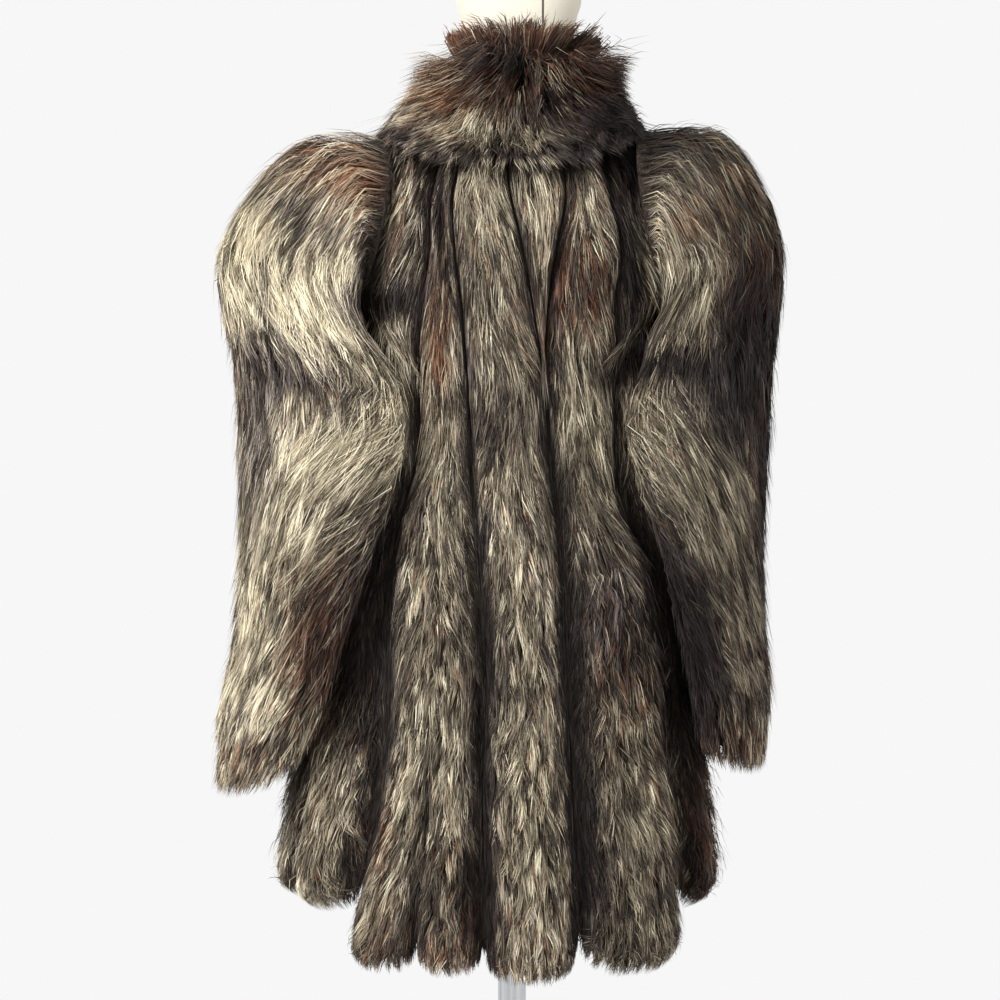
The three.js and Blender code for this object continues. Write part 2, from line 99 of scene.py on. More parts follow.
# Seams, as levels from the top down and the turn at each.
SEAMS: dict[str, tuple[tuple[float, ...], tuple[float, ...]]] = {
    "left_armhole": (
        (1378, 1345, 1335, 1325, 1312, 1296, 1245, 1188, 1170), (90, 90, 85, 77, 69, 63, 60, 58, 50)),
    "left_shoulder": (
        (1378, 1300, 1243, 1197, 1165, 1103, 1072, 1020, 999, 937, 875, 793, 728, 686, 636, 540),
        (42, 40, 35.5, 36, 36, 34.6, 33.2, 34.8, 38.8, 40.3, 39.8, 36.3, 36.6, 39, 42, 43)),
    "left_centre": (
        (1378, 1292, 1243, 1196, 1121, 1074, 973, 918, 877, 828, 737, 697, 630, 540),
        (33, 31, 26, 21.2, 16.4, 14.2, 10, 7.5, 5.8, 4.8, 4.9, 4.5, 4.2, 4.5)),
    "centre_wedge": (
        (1378, 1304, 1262, 1208, 1152, 1125, 1040, 959, 918, 856, 795, 741, 629, 540),
        (5, 2, -4.5, -9.5, -13.4, -14.6, -17.3, -20.2, -20.8, -21.2, -21.9, -22.6, -23.4, -22.8)),
    "wedge_right": (
        (1378, 1305, 1262, 1214, 1152, 1125, 1040, 959, 918, 856, 795, 741, 629, 540),
        (-31, -28.7, -22.8, -17.9, -14.6, -14.6, -17.3, -20.2, -20.8, -21.2, -21.9, -22.6, -23.4, -22.8)),
    "right_shoulder": (
        (1378, 1294, 1246, 1198, 1165, 1093, 1041, 1010, 978, 957, 914, 851, 790, 744, 679, 600, 540),
        (-50, -47, -49, -43.8, -44.5, -42, -41.6, -44.4, -51, -55.5, -60, -58.7, -57.3, -57.8, -60, -57,
         -55)),
    "right_armhole": (
        (1378, 1345, 1335, 1325, 1312, 1296, 1245, 1188, 1170),
        (-90, -90, -85, -77, -69, -64, -60, -58, -50)),
    "left_front": (
        (1378, 1345, 1335, 1325, 1312, 1296, 1245, 1188, 1170, 540),
        (90, 90, 98, 108, 118, 124, 130, 132, 134, 134)),
    "right_front": (
        (1378, 1345, 1335, 1325, 1312, 1296, 1245, 1188, 1170, 540),
        (-90, -90, -98, -108, -118, -124, -130, -132, -134, -134)),
}

# Upper sleeve sections: crown x and z, underarm x and z, reach of the edges, middle and half of the depth.
CAPS = {
    1: ((142, 1380, 166, 1175, 126, 3, 127), (210, 1371, 182, 1173, 139, 4, 131),
        (266, 1314, 184, 1172, 150, 8, 132), (296, 1248, 184, 1170, 156, 12, 132)),
    -1: ((146, 1388, 166, 1175, 128, 3, 127), (210, 1378, 182, 1173, 139, 4, 130),
         (252, 1322, 182, 1172, 148, 8, 130), (273, 1252, 181, 1170, 154, 12, 130)),
}

# Hanging sleeve sections: level of the outer edge, its reach, turns of the back and front edges, and how
# much higher the inner edge is.
HANGS = {
    1: ((1171, 285, 42, 121, -12), (1120, 278, 32, 118, 6), (1065, 275, 27.5, 115, 10), (1010, 274, 30, 112, 14),
        (945, 275, 35, 109, 26), (875, 280, 39, 106, 44), (800, 294, 44, 103, 64), (726, 295, 50, 101, 84)),
    -1: ((1172, 265, 44, 122, -12), (1120, 260, 38, 118, 6), (1065, 258, 34, 115, 10), (1010, 254, 38, 112, 15),
         (950, 252, 44, 109, 20), (885, 254, 49, 106, 30), (815, 259, 52, 103, 40), (746, 249, 55, 101, 50)),
}

# The folded collar: turn, level its fall reaches, thickness of the fall, level of the crown and its lean.
COLLAR = np.array([
    (-171, 1290, 22, 1430, 20), (-140, 1318, 24, 1448, 24), (-105, 1349, 26, 1464, 30), (-75, 1349, 28, 1466, 32),
    (-40, 1325, 30, 1468, 26), (0, 1318, 30, 1470, 24), (40, 1325, 28, 1470, 20), (75, 1347, 23, 1466, 17),
    (105, 1345, 23, 1462, 18), (140, 1318, 23, 1448, 20), (171, 1290, 22, 1430, 20),
], float)


def through(places: Array, values: Array, at: Array) -> Array:
    """Smooth column of a table: a cubic through its rows, with the slope between a row's neighbours.

    Args:
        places: Rising places of the rows.
        values: Value at each row.
        at: Places asked for.

    Returns:
        The values there, held at the ends.
    """
    rows = np.arange(len(places))
    low, high = np.maximum(rows - 1, 0), np.minimum(rows + 1, len(places) - 1)
    slope = (values[high] - values[low]) / (places[high] - places[low])
    k = np.clip(np.searchsorted(places, at, side="right") - 1, 0, len(places) - 2)
    span = places[k + 1] - places[k]
    s = np.clip((at - places[k]) / span, 0, 1)
    t = 1 - s
    ends = values[k] * t * t * (1 + 2 * s) + values[k + 1] * s * s * (1 + 2 * t)
    return ends + slope[k] * span * s * t * t - slope[k + 1] * span * t * s * s


def column(table: Array, name: Section, level: Array) -> Array:
    """One column of a table of sections at any level."""
    return through(table[:, 0], table[:, name.value], level)


def swing(value: Array, power: float) -> Array:
    """A signed power, which squares or sharpens a circle's sines."""
    return np.sign(value) * np.abs(value) ** power


def body_point(table: Array, turn: Array, level: Array) -> Array:
    """Point of a sectioned body: a squared ellipse, its radius one over the power mean of sine and cosine.

    Args:
        table: Sections of the body.
        turn: Degrees from the centre back.
        level: Heights in millimetres.

    Returns:
        Points, with x, y, z last.
    """
    turn, level = np.broadcast_arrays(np.asarray(turn, float), np.asarray(level, float))
    s, c = np.sin(np.radians(turn)), np.cos(np.radians(turn))
    wide, shift = column(table, Section.WIDE, level), column(table, Section.SHIFT, level)
    deep = np.where(c > 0, column(table, Section.BACK, level), column(table, Section.FRONT, level))
    radius = (np.abs(s / wide) ** ROUND + np.abs(c / deep) ** ROUND) ** (-1 / ROUND)
    return np.stack([shift + radius * s, radius * c, level], -1)


def unit(vectors: Array) -> Array:
    """The vectors at length one."""
    return vectors / np.maximum(np.linalg.norm(vectors, axis=-1, keepdims=True), 1e-9)


def coat_out(turn: Array, level: Array, out: Array) -> Array:
    """Point that far outside the coat's skin, along its normal, the cross of its two tangents."""
    turn, level, out = np.broadcast_arrays(
        np.asarray(turn, float), np.asarray(level, float), np.asarray(out, float))
    low = np.clip(level, 541, NECKLINE - 1)
    along = body_point(COAT, turn + 0.5, level) - body_point(COAT, turn - 0.5, level)
    up = body_point(COAT, turn, low + 1) - body_point(COAT, turn, low - 1)
    return body_point(COAT, turn, level) + unit(np.cross(up, along)) * out[..., None]


def fur_at(level: Array) -> Array:
    """Reach of the fur on a crest at a level."""
    return column(COAT, Section.FUR, np.clip(level, 540, NECKLINE))


def neckline(turn: Array) -> Array:
    """Level of the neckline, which dips towards the centre front."""
    return NECKLINE - NECK_DIP * np.clip((np.abs(turn) - 90) / 70, 0, 1) ** 1.5


def mix(a: Array | float, b: Array | float, share: Array | float) -> Array:
    """A value between two others."""
    return a + (b - a) * share


def away_from_axis(turn: Array) -> Array:
    """Level unit vectors that point away from the body's axis."""
    turn = np.radians(turn)
    return np.stack([np.sin(turn), np.cos(turn), np.zeros_like(turn)], -1)


def threaded(rings: Array, at: Array) -> Array:
    """Rings on centripetal splines through the given ones, the knots spaced by the root of each distance.

    Args:
        rings: Rings of points, in order, of shape rings, steps, 3.
        at: Shares of the way along.

    Returns:
        A ring for each share.
    """
    whole = np.concatenate([2 * rings[:1] - rings[1:2], rings, 2 * rings[-1:] - rings[-2:-1]])
    place = np.asarray(at, float) * (len(rings) - 1)
    k = np.clip(np.floor(place).astype(int), 0, len(rings) - 2)
    w = (place - k)[:, None, None]
    p0, p1, p2, p3 = (whole[k + i] for i in range(4))
    d0, d1, d2 = (
        np.maximum(((b - a) ** 2).sum(-1, keepdims=True), 1e-8) ** 0.25
        for a, b in ((p0, p1), (p1, p2), (p2, p3))
    )
    t1 = ((p1 - p0) / d0 - (p2 - p0) / (d0 + d1) + (p2 - p1) / d1) * d1
    t2 = ((p2 - p1) / d1 - (p3 - p1) / (d1 + d2) + (p3 - p2) / d2) * d1
    return p1 + t1 * w + (3 * (p2 - p1) - 2 * t1 - t2) * w**2 + (2 * (p1 - p2) + t1 + t2) * w**3


def seen(points: Array) -> tuple[Array, Array]:
    """Place of points on the picture plane, in millimetres across and down from its top left corner."""
    share = EYE[1] / (EYE[1] - points[..., 1])
    return PICTURE / 2 - (points[..., 0] - EYE[0]) * share, PICTURE / 2 - (points[..., 2] - EYE[2]) * share


def drift(points: Array, size: float, seed: int) -> Array:
    """Slow wandering value from -1 to 1: the mean of seven waves in seeded directions.

    Args:
        points: Points in millimetres.
        size: Rough width of a patch.
        seed: Which set of waves.

    Returns:
        A value for each point.
    """
    rng = np.random.default_rng(seed)
    waves = unit(rng.normal(size=(7, 3))) * (2 * math.pi / (size * rng.uniform(1.2, 2.8, (7, 1))))
    return np.sin(points @ waves.T + rng.uniform(0, 6.28, 7)).mean(-1) * 2.2


class Hair(Enum):
    """Kinds of hair in the coat."""

    SILVER = 0
    RUST = 1
    SMOKE = 2


@dataclass(frozen=True)
class Patch:
    """A soft patch of hair on the picture plane, an oval that may lean: foot to the left when positive."""

    across: float
    down: float
    wide: float
    tall: float
    lean: float
    hair: Hair
    tone: float
    strength: float = 0.9

    def share(self, across: Array, down: Array) -> Array:
        """Strength of the patch at places: a bell that falls off with the oval's squared distance."""
        s, c = math.sin(math.radians(self.lean)), math.cos(math.radians(self.lean))
        x, y = across - self.across, down - self.down
        aside, along = (x * c + y * s) / self.wide, (y * c - x * s) / self.tall
        return self.strength * np.exp(-(aside**2) - along**2)


PATCHES = (
    # lower pelts, salt and pepper
    Patch(420, 640, 60, 90, 8, Hair.SILVER, 0.56, 0.7),
    Patch(415, 850, 60, 90, 0, Hair.SILVER, 0.55, 0.7),
    Patch(535, 840, 42, 110, -5, Hair.SILVER, 0.58, 0.8),
    Patch(515, 600, 34, 100, -6, Hair.SILVER, 0.5, 0.7),
    Patch(640, 830, 45, 110, -4, Hair.SILVER, 0.52, 0.8),
    Patch(325, 830, 34, 90, 0, Hair.SILVER, 0.46, 0.8),
    Patch(378, 835, 11, 50, 0, Hair.RUST, 0.5, 0.7),
    Patch(430, 955, 70, 18, 0, Hair.RUST, 0.4, 0.5),
    Patch(620, 610, 42, 46, -6, Hair.SMOKE, 0.42, 0.95),
    Patch(628, 690, 38, 40, 0, Hair.RUST, 0.3, 0.5),
    Patch(702, 840, 16, 90, 0, Hair.RUST, 0.25, 0.9),
    Patch(478, 930, 16, 60, 0, Hair.RUST, 0.22, 0.7),
    Patch(395, 700, 30, 30, 20, Hair.SILVER, 0.62, 0.5),
    # upper back
    Patch(490, 205, 34, 60, 0, Hair.SILVER, 0.6, 0.8),
    Patch(492, 330, 26, 60, 0, Hair.SILVER, 0.6, 0.7),
    Patch(488, 425, 32, 34, 0, Hair.SMOKE, 0.5, 0.8),
    Patch(545, 205, 14, 50, 0, Hair.SILVER, 0.88, 0.9),
    Patch(560, 290, 13, 80, 4, Hair.RUST, 0.5, 0.9),
    Patch(570, 380, 16, 40, 0, Hair.SILVER, 0.6, 0.6),
    Patch(436, 340, 15, 85, -3, Hair.RUST, 0.5, 0.95),
    # painted shade: near-black hair in the gap between two rolls
    Patch(438, 215, 8, 56, 0, Hair.SMOKE, 0.14, 0.9),
    Patch(440, 450, 34, 50, 10, Hair.SILVER, 0.5, 0.8),
    Patch(398, 215, 24, 60, 4, Hair.SILVER, 0.86, 0.95),
    Patch(408, 285, 20, 34, 0, Hair.SILVER, 0.74, 0.9),
    Patch(392, 250, 5, 40, 8, Hair.RUST, 0.25, 0.7),
    Patch(405, 350, 16, 70, 0, Hair.SILVER, 0.55, 0.7),
    # painted shade: a near-black band in a fold of the fur
    Patch(375, 305, 42, 14, -8, Hair.SMOKE, 0.12, 0.9),
    Patch(600, 220, 20, 46, 0, Hair.SILVER, 0.72, 0.9),
    Patch(595, 300, 16, 40, 0, Hair.RUST, 0.35, 0.7),
    Patch(598, 430, 26, 70, 0, Hair.SILVER, 0.52, 0.8),
    # painted shade: near-black hair on the right shoulder, which the light leaves in shadow
    Patch(635, 175, 24, 50, 0, Hair.SMOKE, 0.08, 0.95),
    Patch(700, 165, 34, 24, -30, Hair.SILVER, 0.55, 0.8),
    # painted shade: near-black hair on the shaded right shoulder
    Patch(690, 125, 30, 16, 0, Hair.SMOKE, 0.1, 0.95),
    # wearer's right sleeve and side
    Patch(660, 240, 26, 60, 0, Hair.SILVER, 0.78, 0.95),
    Patch(705, 270, 26, 70, -8, Hair.SILVER, 0.74, 0.9),
    Patch(720, 215, 50, 18, -30, Hair.RUST, 0.42, 0.7),
    Patch(752, 230, 30, 34, -20, Hair.SILVER, 0.42, 0.6),
    Patch(757, 300, 28, 60, 0, Hair.RUST, 0.24, 0.95),
    # painted shade: a dark band in a fold of the sleeve
    Patch(660, 372, 50, 22, 0, Hair.SMOKE, 0.25, 0.95),
    Patch(735, 385, 34, 40, 0, Hair.SMOKE, 0.2, 0.9),
    Patch(650, 445, 48, 60, 0, Hair.SILVER, 0.68, 0.95),
    Patch(705, 510, 46, 80, -16, Hair.SILVER, 0.54, 0.9),
    Patch(765, 450, 12, 90, 0, Hair.RUST, 0.45, 0.8),
    # painted shade over darker fur: near-black hair on the sleeve's inner side, which lies in shadow
    Patch(680, 610, 26, 90, -12, Hair.SMOKE, 0.08, 0.98),
    Patch(692, 690, 24, 60, 0, Hair.SMOKE, 0.05, 0.98),
    Patch(738, 650, 24, 110, -4, Hair.SILVER, 0.4, 0.9),
    Patch(735, 745, 26, 22, 0, Hair.RUST, 0.4, 0.6),
    # wearer's left sleeve
    Patch(325, 172, 60, 24, 14, Hair.RUST, 0.5, 0.9),
    Patch(350, 196, 30, 34, 0, Hair.RUST, 0.56, 0.8),
    Patch(262, 250, 46, 64, 16, Hair.SILVER, 0.94, 0.97),
    Patch(318, 320, 50, 76, 8, Hair.SILVER, 0.96, 0.97),
    Patch(240, 330, 18, 60, 0, Hair.SILVER, 0.6, 0.7),
    Patch(300, 225, 60, 16, 30, Hair.SMOKE, 0.2, 0.6),
    Patch(270, 372, 24, 40, -20, Hair.SMOKE, 0.42, 0.9),
    Patch(254, 450, 18, 80, 0, Hair.SMOKE, 0.44, 0.95),
    Patch(330, 395, 60, 20, 30, Hair.SMOKE, 0.25, 0.7),
    Patch(345, 465, 68, 58, 38, Hair.SILVER, 0.8, 0.96),
    Patch(300, 545, 44, 38, 38, Hair.SILVER, 0.72, 0.9),
    Patch(368, 560, 24, 60, 24, Hair.SMOKE, 0.25, 0.9),
    Patch(322, 650, 34, 70, 6, Hair.RUST, 0.2, 0.95),
    Patch(255, 650, 30, 110, 0, Hair.SILVER, 0.56, 0.95),
    Patch(240, 765, 26, 18, 0, Hair.RUST, 0.5, 0.6),
    Patch(228, 700, 14, 70, 0, Hair.SILVER, 0.66, 0.6),
    # collar
    Patch(440, 100, 40, 40, 0, Hair.RUST, 0.52, 0.95),
    Patch(480, 60, 34, 30, 0, Hair.SMOKE, 0.4, 0.9),
    Patch(520, 80, 40, 40, 0, Hair.RUST, 0.28, 0.9),
    Patch(560, 110, 40, 30, 0, Hair.SMOKE, 0.35, 0.8),
    Patch(600, 90, 34, 40, 0, Hair.RUST, 0.3, 0.95),
    Patch(455, 30, 44, 24, 0, Hair.RUST, 0.44, 0.9),
    Patch(530, 34, 50, 26, 0, Hair.RUST, 0.36, 0.9),
    Patch(595, 48, 34, 24, 0, Hair.RUST, 0.26, 0.9),
    Patch(510, 66, 20, 12, 0, Hair.SMOKE, 0.04, 0.9),
    Patch(550, 76, 16, 12, 0, Hair.SILVER, 0.6, 0.6),
    Patch(455, 132, 44, 16, 8, Hair.SILVER, 0.55, 0.8),
    Patch(535, 132, 34, 12, 0, Hair.SILVER, 0.42, 0.7),
    # painted shade: dark hair at the collar's right end, beside the shaded right shoulder
    Patch(612, 118, 30, 24, 0, Hair.SMOKE, 0.1, 0.9),
    Patch(400, 140, 24, 18, 0, Hair.SMOKE, 0.3, 0.8),
    # painted shade: a thin dark band under the collar's lower edge
    Patch(515, 158, 110, 8, 0, Hair.SMOKE, 0.12, 0.8),
    # darkest places: painted shade, near-black hair in the gaps beside the sleeves, in folds, and on the right
    # shoulder, sleeve and collar that the light leaves dark
    Patch(650, 150, 44, 44, -20, Hair.SMOKE, 0.08, 0.9),
    Patch(635, 290, 12, 40, 0, Hair.SMOKE, 0.06, 0.9),
    Patch(752, 335, 30, 60, 0, Hair.SMOKE, 0.05, 0.95),
    Patch(655, 378, 60, 13, 0, Hair.SMOKE, 0.07, 0.95),
    Patch(378, 303, 34, 12, -8, Hair.SMOKE, 0.06, 0.9),
    Patch(368, 230, 9, 60, 4, Hair.SMOKE, 0.05, 0.9),
    Patch(365, 660, 30, 60, 8, Hair.SMOKE, 0.03, 0.95),
    Patch(700, 660, 24, 80, -4, Hair.SMOKE, 0.05, 0.95),
    Patch(740, 410, 30, 50, 0, Hair.SMOKE, 0.16, 0.85),
    Patch(766, 500, 10, 120, 0, Hair.SMOKE, 0.12, 0.8),
    Patch(620, 125, 34, 26, 0, Hair.SMOKE, 0.1, 0.8),
)


@dataclass(frozen=True)
class Trough:
    """A soft dent in the fur on the picture plane, darkened with painted shade, an oval that may lean, with how
    far it sinks.
    """

    across: float
    down: float
    wide: float
    tall: float
    lean: float
    sink: float

    def share(self, across: Array, down: Array) -> Array:
        """Depth at places: a bell that falls off with the oval's squared distance."""
        s, c = math.sin(math.radians(self.lean)), math.cos(math.radians(self.lean))
        x, y = across - self.across, down - self.down
        return self.sink * np.exp(-(((x * c + y * s) / self.wide) ** 2) - ((y * c - x * s) / self.tall) ** 2)


# Dents that sink the fur; the hair in each is also darkened as painted shade.
TROUGHS = (
    # gaps between the rolls
    Trough(578, 700, 13, 80, -6, 0.85),
    Trough(569, 600, 8, 90, -5, 0.6),
    Trough(583, 860, 8, 80, -3, 0.7),
    Trough(553, 450, 7, 60, -7, 0.6),
    Trough(484, 630, 11, 50, -3, 0.85),
    Trough(484, 740, 8, 70, 0, 0.6),
    Trough(482, 900, 14, 46, 0, 0.75),
    Trough(472, 500, 6, 60, -4, 0.5),
    Trough(368, 668, 20, 52, 6, 0.95),
    Trough(376, 770, 8, 60, 5, 0.7),
    Trough(352, 880, 8, 40, 12, 0.6),
    Trough(684, 760, 9, 60, -4, 0.7),
    Trough(694, 860, 8, 60, 0, 0.6),
    Trough(636, 520, 7, 40, -28, 0.75),
    Trough(528, 260, 5, 60, -16, 0.6),
    Trough(560, 250, 5, 60, 14, 0.5),
    Trough(440, 215, 6, 50, -4, 0.6),
    # folds and joins in the fur
    Trough(372, 250, 10, 80, 6, 0.7),
    Trough(384, 312, 34, 9, -8, 0.45),
    Trough(300, 395, 60, 12, 32, 0.35),
    Trough(284, 250, 12, 60, 30, 0.3),
    Trough(320, 600, 12, 70, 8, 0.35),
    Trough(285, 640, 9, 90, 0, 0.3),
    Trough(655, 372, 46, 10, 0, 0.45),
    Trough(642, 220, 9, 70, -4, 0.5),
    Trough(735, 330, 12, 46, 14, 0.35),
    Trough(722, 620, 9, 90, -5, 0.3),
    Trough(490, 440, 30, 9, 0, 0.35),
    Trough(440, 410, 20, 9, 10, 0.3),
    Trough(598, 560, 26, 9, -10, 0.3),
    Trough(420, 560, 40, 8, 12, 0.25),
    Trough(540, 700, 36, 8, 0, 0.2),
    Trough(440, 760, 44, 8, 8, 0.2),
    Trough(640, 745, 44, 8, -6, 0.2),
)


def sunk(points: Array) -> Array:
    """Share of the fur that is left where the troughs lie; the same share darkens the hair there as painted
    shade.
    """
    across, down = seen(points)
    left = np.ones(across.shape)
    for trough in TROUGHS:
        left = left * (1 - trough.share(across, down))
    return left


@dataclass(frozen=True)
class Weave:
    """Vertices, corner lists and corner texture places of a mesh, ready to be made."""

    vertices: Array
    corners: Array
    starts: Array
    places: Array | None = None

    def make(self, name: str, material: bpy.types.Material, smooth: bool = True) -> bpy.types.Object:
        """Puts the arrays into a mesh object in the scene.

        Args:
            name: Name of the piece.
            material: Its finish.
            smooth: Whether it is shaded smooth.

        Returns:
            The object, at the origin.
        """
        mesh = bpy.data.meshes.new(name)
        mesh.vertices.add(len(self.vertices))
        mesh.vertices.foreach_set("co", np.asarray(self.vertices * MM, np.float32).ravel())
        mesh.loops.add(len(self.corners))
        mesh.loops.foreach_set("vertex_index", np.asarray(self.corners, np.int32))
        mesh.polygons.add(len(self.starts))
        mesh.polygons.foreach_set("loop_start", np.asarray(self.starts, np.int32))
        mesh.polygons.foreach_set("use_smooth", np.full(len(self.starts), smooth))
        mesh.update(calc_edges=True)
        if self.places is not None:
            for layer in ("Fur", "OFBake"):
                places = self.places.astype(np.float32).ravel()
                mesh.uv_layers.new(name=layer).uv.foreach_set("vector", places)
        mesh.materials.append(material)
        piece = bpy.data.objects.new(name, mesh)
        bpy.context.scene.collection.objects.link(piece)
        return piece


def shell(outer: Array, inner: Array, ring: bool) -> Weave:
    """Closed shell between two grids of points: both faces, and strips that join their rims.

    Args:
        outer: Grid of rows and columns of points on the fur side.
        inner: The same on the skin side.
        ring: Whether the columns close on themselves, the last column repeating the first.

    Returns:
        The mesh, facing outwards.
    """
    if ring:
        outer, inner = outer[:, :-1], inner[:, :-1]
    rows, columns = outer.shape[:2]
    index = np.arange(rows * columns).reshape(rows, columns)
    wrapped = np.concatenate([index, index[:, :1]], 1) if ring else index
    far = wrapped + rows * columns

    def strip(a: Array, b: Array) -> Array:
        """Faces between two lines of corners."""
        return np.stack([a[:-1], a[1:], b[1:], b[:-1]], -1)

    def sheet(grid: Array) -> Array:
        """Faces of a grid of corners."""
        return np.stack([grid[:-1, :-1], grid[:-1, 1:], grid[1:, 1:], grid[1:, :-1]], -1).reshape(-1, 4)

    faces = [sheet(wrapped), sheet(far)[:, ::-1], strip(far[0], wrapped[0]), strip(wrapped[-1], far[-1])]
    if not ring:
        faces += [strip(wrapped[:, 0], far[:, 0]), strip(far[:, -1], wrapped[:, -1])]
    corners = np.concatenate(faces)
    vertices = np.concatenate([outer.reshape(-1, 3), inner.reshape(-1, 3)])
    a, b, c, d = (vertices[corners[:, k]] for k in range(4))
    volume = (a * np.cross(b, c)).sum() + (a * np.cross(c, d)).sum()
    corners = corners if volume > 0 else corners[:, ::-1]
    return Weave(vertices, corners.ravel(), np.arange(len(corners)) * 4)


class Shade:
    """A socket of a node tree that takes part in arithmetic."""

    def __init__(self, bench: "Bench", socket: bpy.types.NodeSocket) -> None:
        """Keeps the socket and the tree that it is in."""
        self.bench = bench
        self.socket = socket

    def _sum(self, operation: str, *values: "Shade | float") -> "Shade":
        """A Math node on the values."""
        node = self.bench.make("ShaderNodeMath", {"operation": operation}, dict(enumerate(values)))
        return Shade(self.bench, node.outputs[0])

    def __add__(self, other: "Shade | float") -> "Shade":
        """Sum."""
        return self._sum("ADD", self, other)

    def __sub__(self, other: "Shade | float") -> "Shade":
        """Difference."""
        return self._sum("SUBTRACT", self, other)

    def __rsub__(self, other: float) -> "Shade":
        """Difference from a number."""
        return self._sum("SUBTRACT", other, self)

    def __mul__(self, other: "Shade | float") -> "Shade":
        """Product."""
        return self._sum("MULTIPLY", self, other)

    def __mod__(self, other: float) -> "Shade":
        """Remainder."""
        return self._sum("FLOORED_MODULO", self, other)

    def __lt__(self, other: float) -> "Shade":
        """One where it is less."""
        return self._sum("LESS_THAN", self, other)

    def __gt__(self, other: float) -> "Shade":
        """One where it is greater."""
        return self._sum("GREATER_THAN", self, other)

    def __abs__(self) -> "Shade":
        """Size without its sign."""
        return self._sum("ABSOLUTE", self)

    __radd__ = __add__
    __rmul__ = __mul__


class Bench:
    """One material and its nodes, ended by a Principled shader."""

    def __init__(self, name: str) -> None:
        """Starts an empty material of that name."""
        self.material = bpy.data.materials.new(name)
        self.material.use_nodes = True
        self.tree = self.material.node_tree
        self.tree.nodes.clear()

    def make(self, kind: str, settings: dict[str, object] | None = None,
             inputs: dict[str | int, object] | None = None) -> bpy.types.Node:
        """Makes a node.

        Args:
            kind: Its type.
            settings: Its properties, or a ramp's stops, set first.
            inputs: Values or links of its sockets, by name or place.

        Returns:
            The node.
        """
        node = self.tree.nodes.new(kind)
        for name, value in (settings or {}).items():
            if name == "stops":
                self._stops(node.color_ramp, value)
            else:
                setattr(node, name, value)
        for name, value in (inputs or {}).items():
            if isinstance(value, Shade):
                self.tree.links.new(value.socket, node.inputs[name])
            else:
                node.inputs[name].default_value = value
        return node

    @staticmethod
    def _stops(ramp: bpy.types.ColorRamp, stops: tuple[tuple[float, Colour], ...]) -> None:
        """Sets a ramp's stops."""
        for k, (place, colour) in enumerate(stops):
            stop = ramp.elements[k] if k < 2 else ramp.elements.new(place)
            stop.position, stop.color = place, (*colour, 1)

    def out(self, kind: str, output: str | int, settings: dict[str, object] | None = None,
            inputs: dict[str | int, object] | None = None) -> Shade:
        """Makes a node and gives one of its outputs."""
        return Shade(self, self.make(kind, settings, inputs).outputs[output])

    def place(self, scale: Colour = (1, 1, 1)) -> Shade:
        """Object coordinates in metres, scaled by an axis each."""
        where = self.out("ShaderNodeTexCoord", "Object")
        return self.out("ShaderNodeMapping", "Vector", {}, {"Vector": where, "Scale": scale})

    def noise(self, scale: float, stretch: Colour = (1, 1, 1), detail: float = 3) -> Shade:
        """Noise from 0 to 1 over Object coordinates."""
        inputs = {"Vector": self.place(stretch), "Scale": scale, "Detail": detail}
        return self.out("ShaderNodeTexNoise", "Fac", {}, inputs)

    def ramp(self, value: Shade, *stops: tuple[float, Colour]) -> Shade:
        """Colour of a value by stops."""
        return self.out("ShaderNodeValToRGB", "Color", {"stops": stops}, {"Fac": value})

    def blend(self, share: Shade | float, a: Shade | Colour, b: Shade | Colour, how: str = "MIX") -> Shade:
        """Mixes two colours."""
        inputs = {
            0: share,
            6: a if isinstance(a, Shade) else (*a, 1),
            7: b if isinstance(b, Shade) else (*b, 1),
        }
        return self.out("ShaderNodeMix", 2, {"data_type": "RGBA", "blend_type": how}, inputs)

    def finish(self, **inputs: object) -> bpy.types.Material:
        """Ends the material with a Principled shader, whose sockets are named with underscores."""
        named = {name.replace("_", " "): value for name, value in inputs.items()}
        shader = self.out("ShaderNodeBsdfPrincipled", "BSDF", {}, named)
        self.make("ShaderNodeOutputMaterial", {}, {"Surface": shader})
        return self.material


# Colour of each kind of hair from its darkest to its lightest.
HAIR_TONES: dict[Hair, tuple[tuple[float, Colour], ...]] = {
    Hair.SILVER: (
        (0.0, (0.012, 0.010, 0.009)), (0.3, (0.095, 0.080, 0.060)), (0.6, (0.42, 0.362, 0.256)),
        (1.0, (1.0, 0.92, 0.69))),
    Hair.RUST: (
        (0.0, (0.016, 0.008, 0.006)), (0.35, (0.085, 0.038, 0.024)), (0.65, (0.25, 0.11, 0.060)),
        (1.0, (0.62, 0.38, 0.23))),
    Hair.SMOKE: (
        (0.0, (0.008, 0.006, 0.006)), (0.35, (0.055, 0.042, 0.043)), (0.65, (0.17, 0.14, 0.135)),
        (1.0, (0.48, 0.42, 0.38))),
}
PALETTE_ROWS = 2 * len(Hair)  # each kind of hair has a row with pale tips and one with dark tips


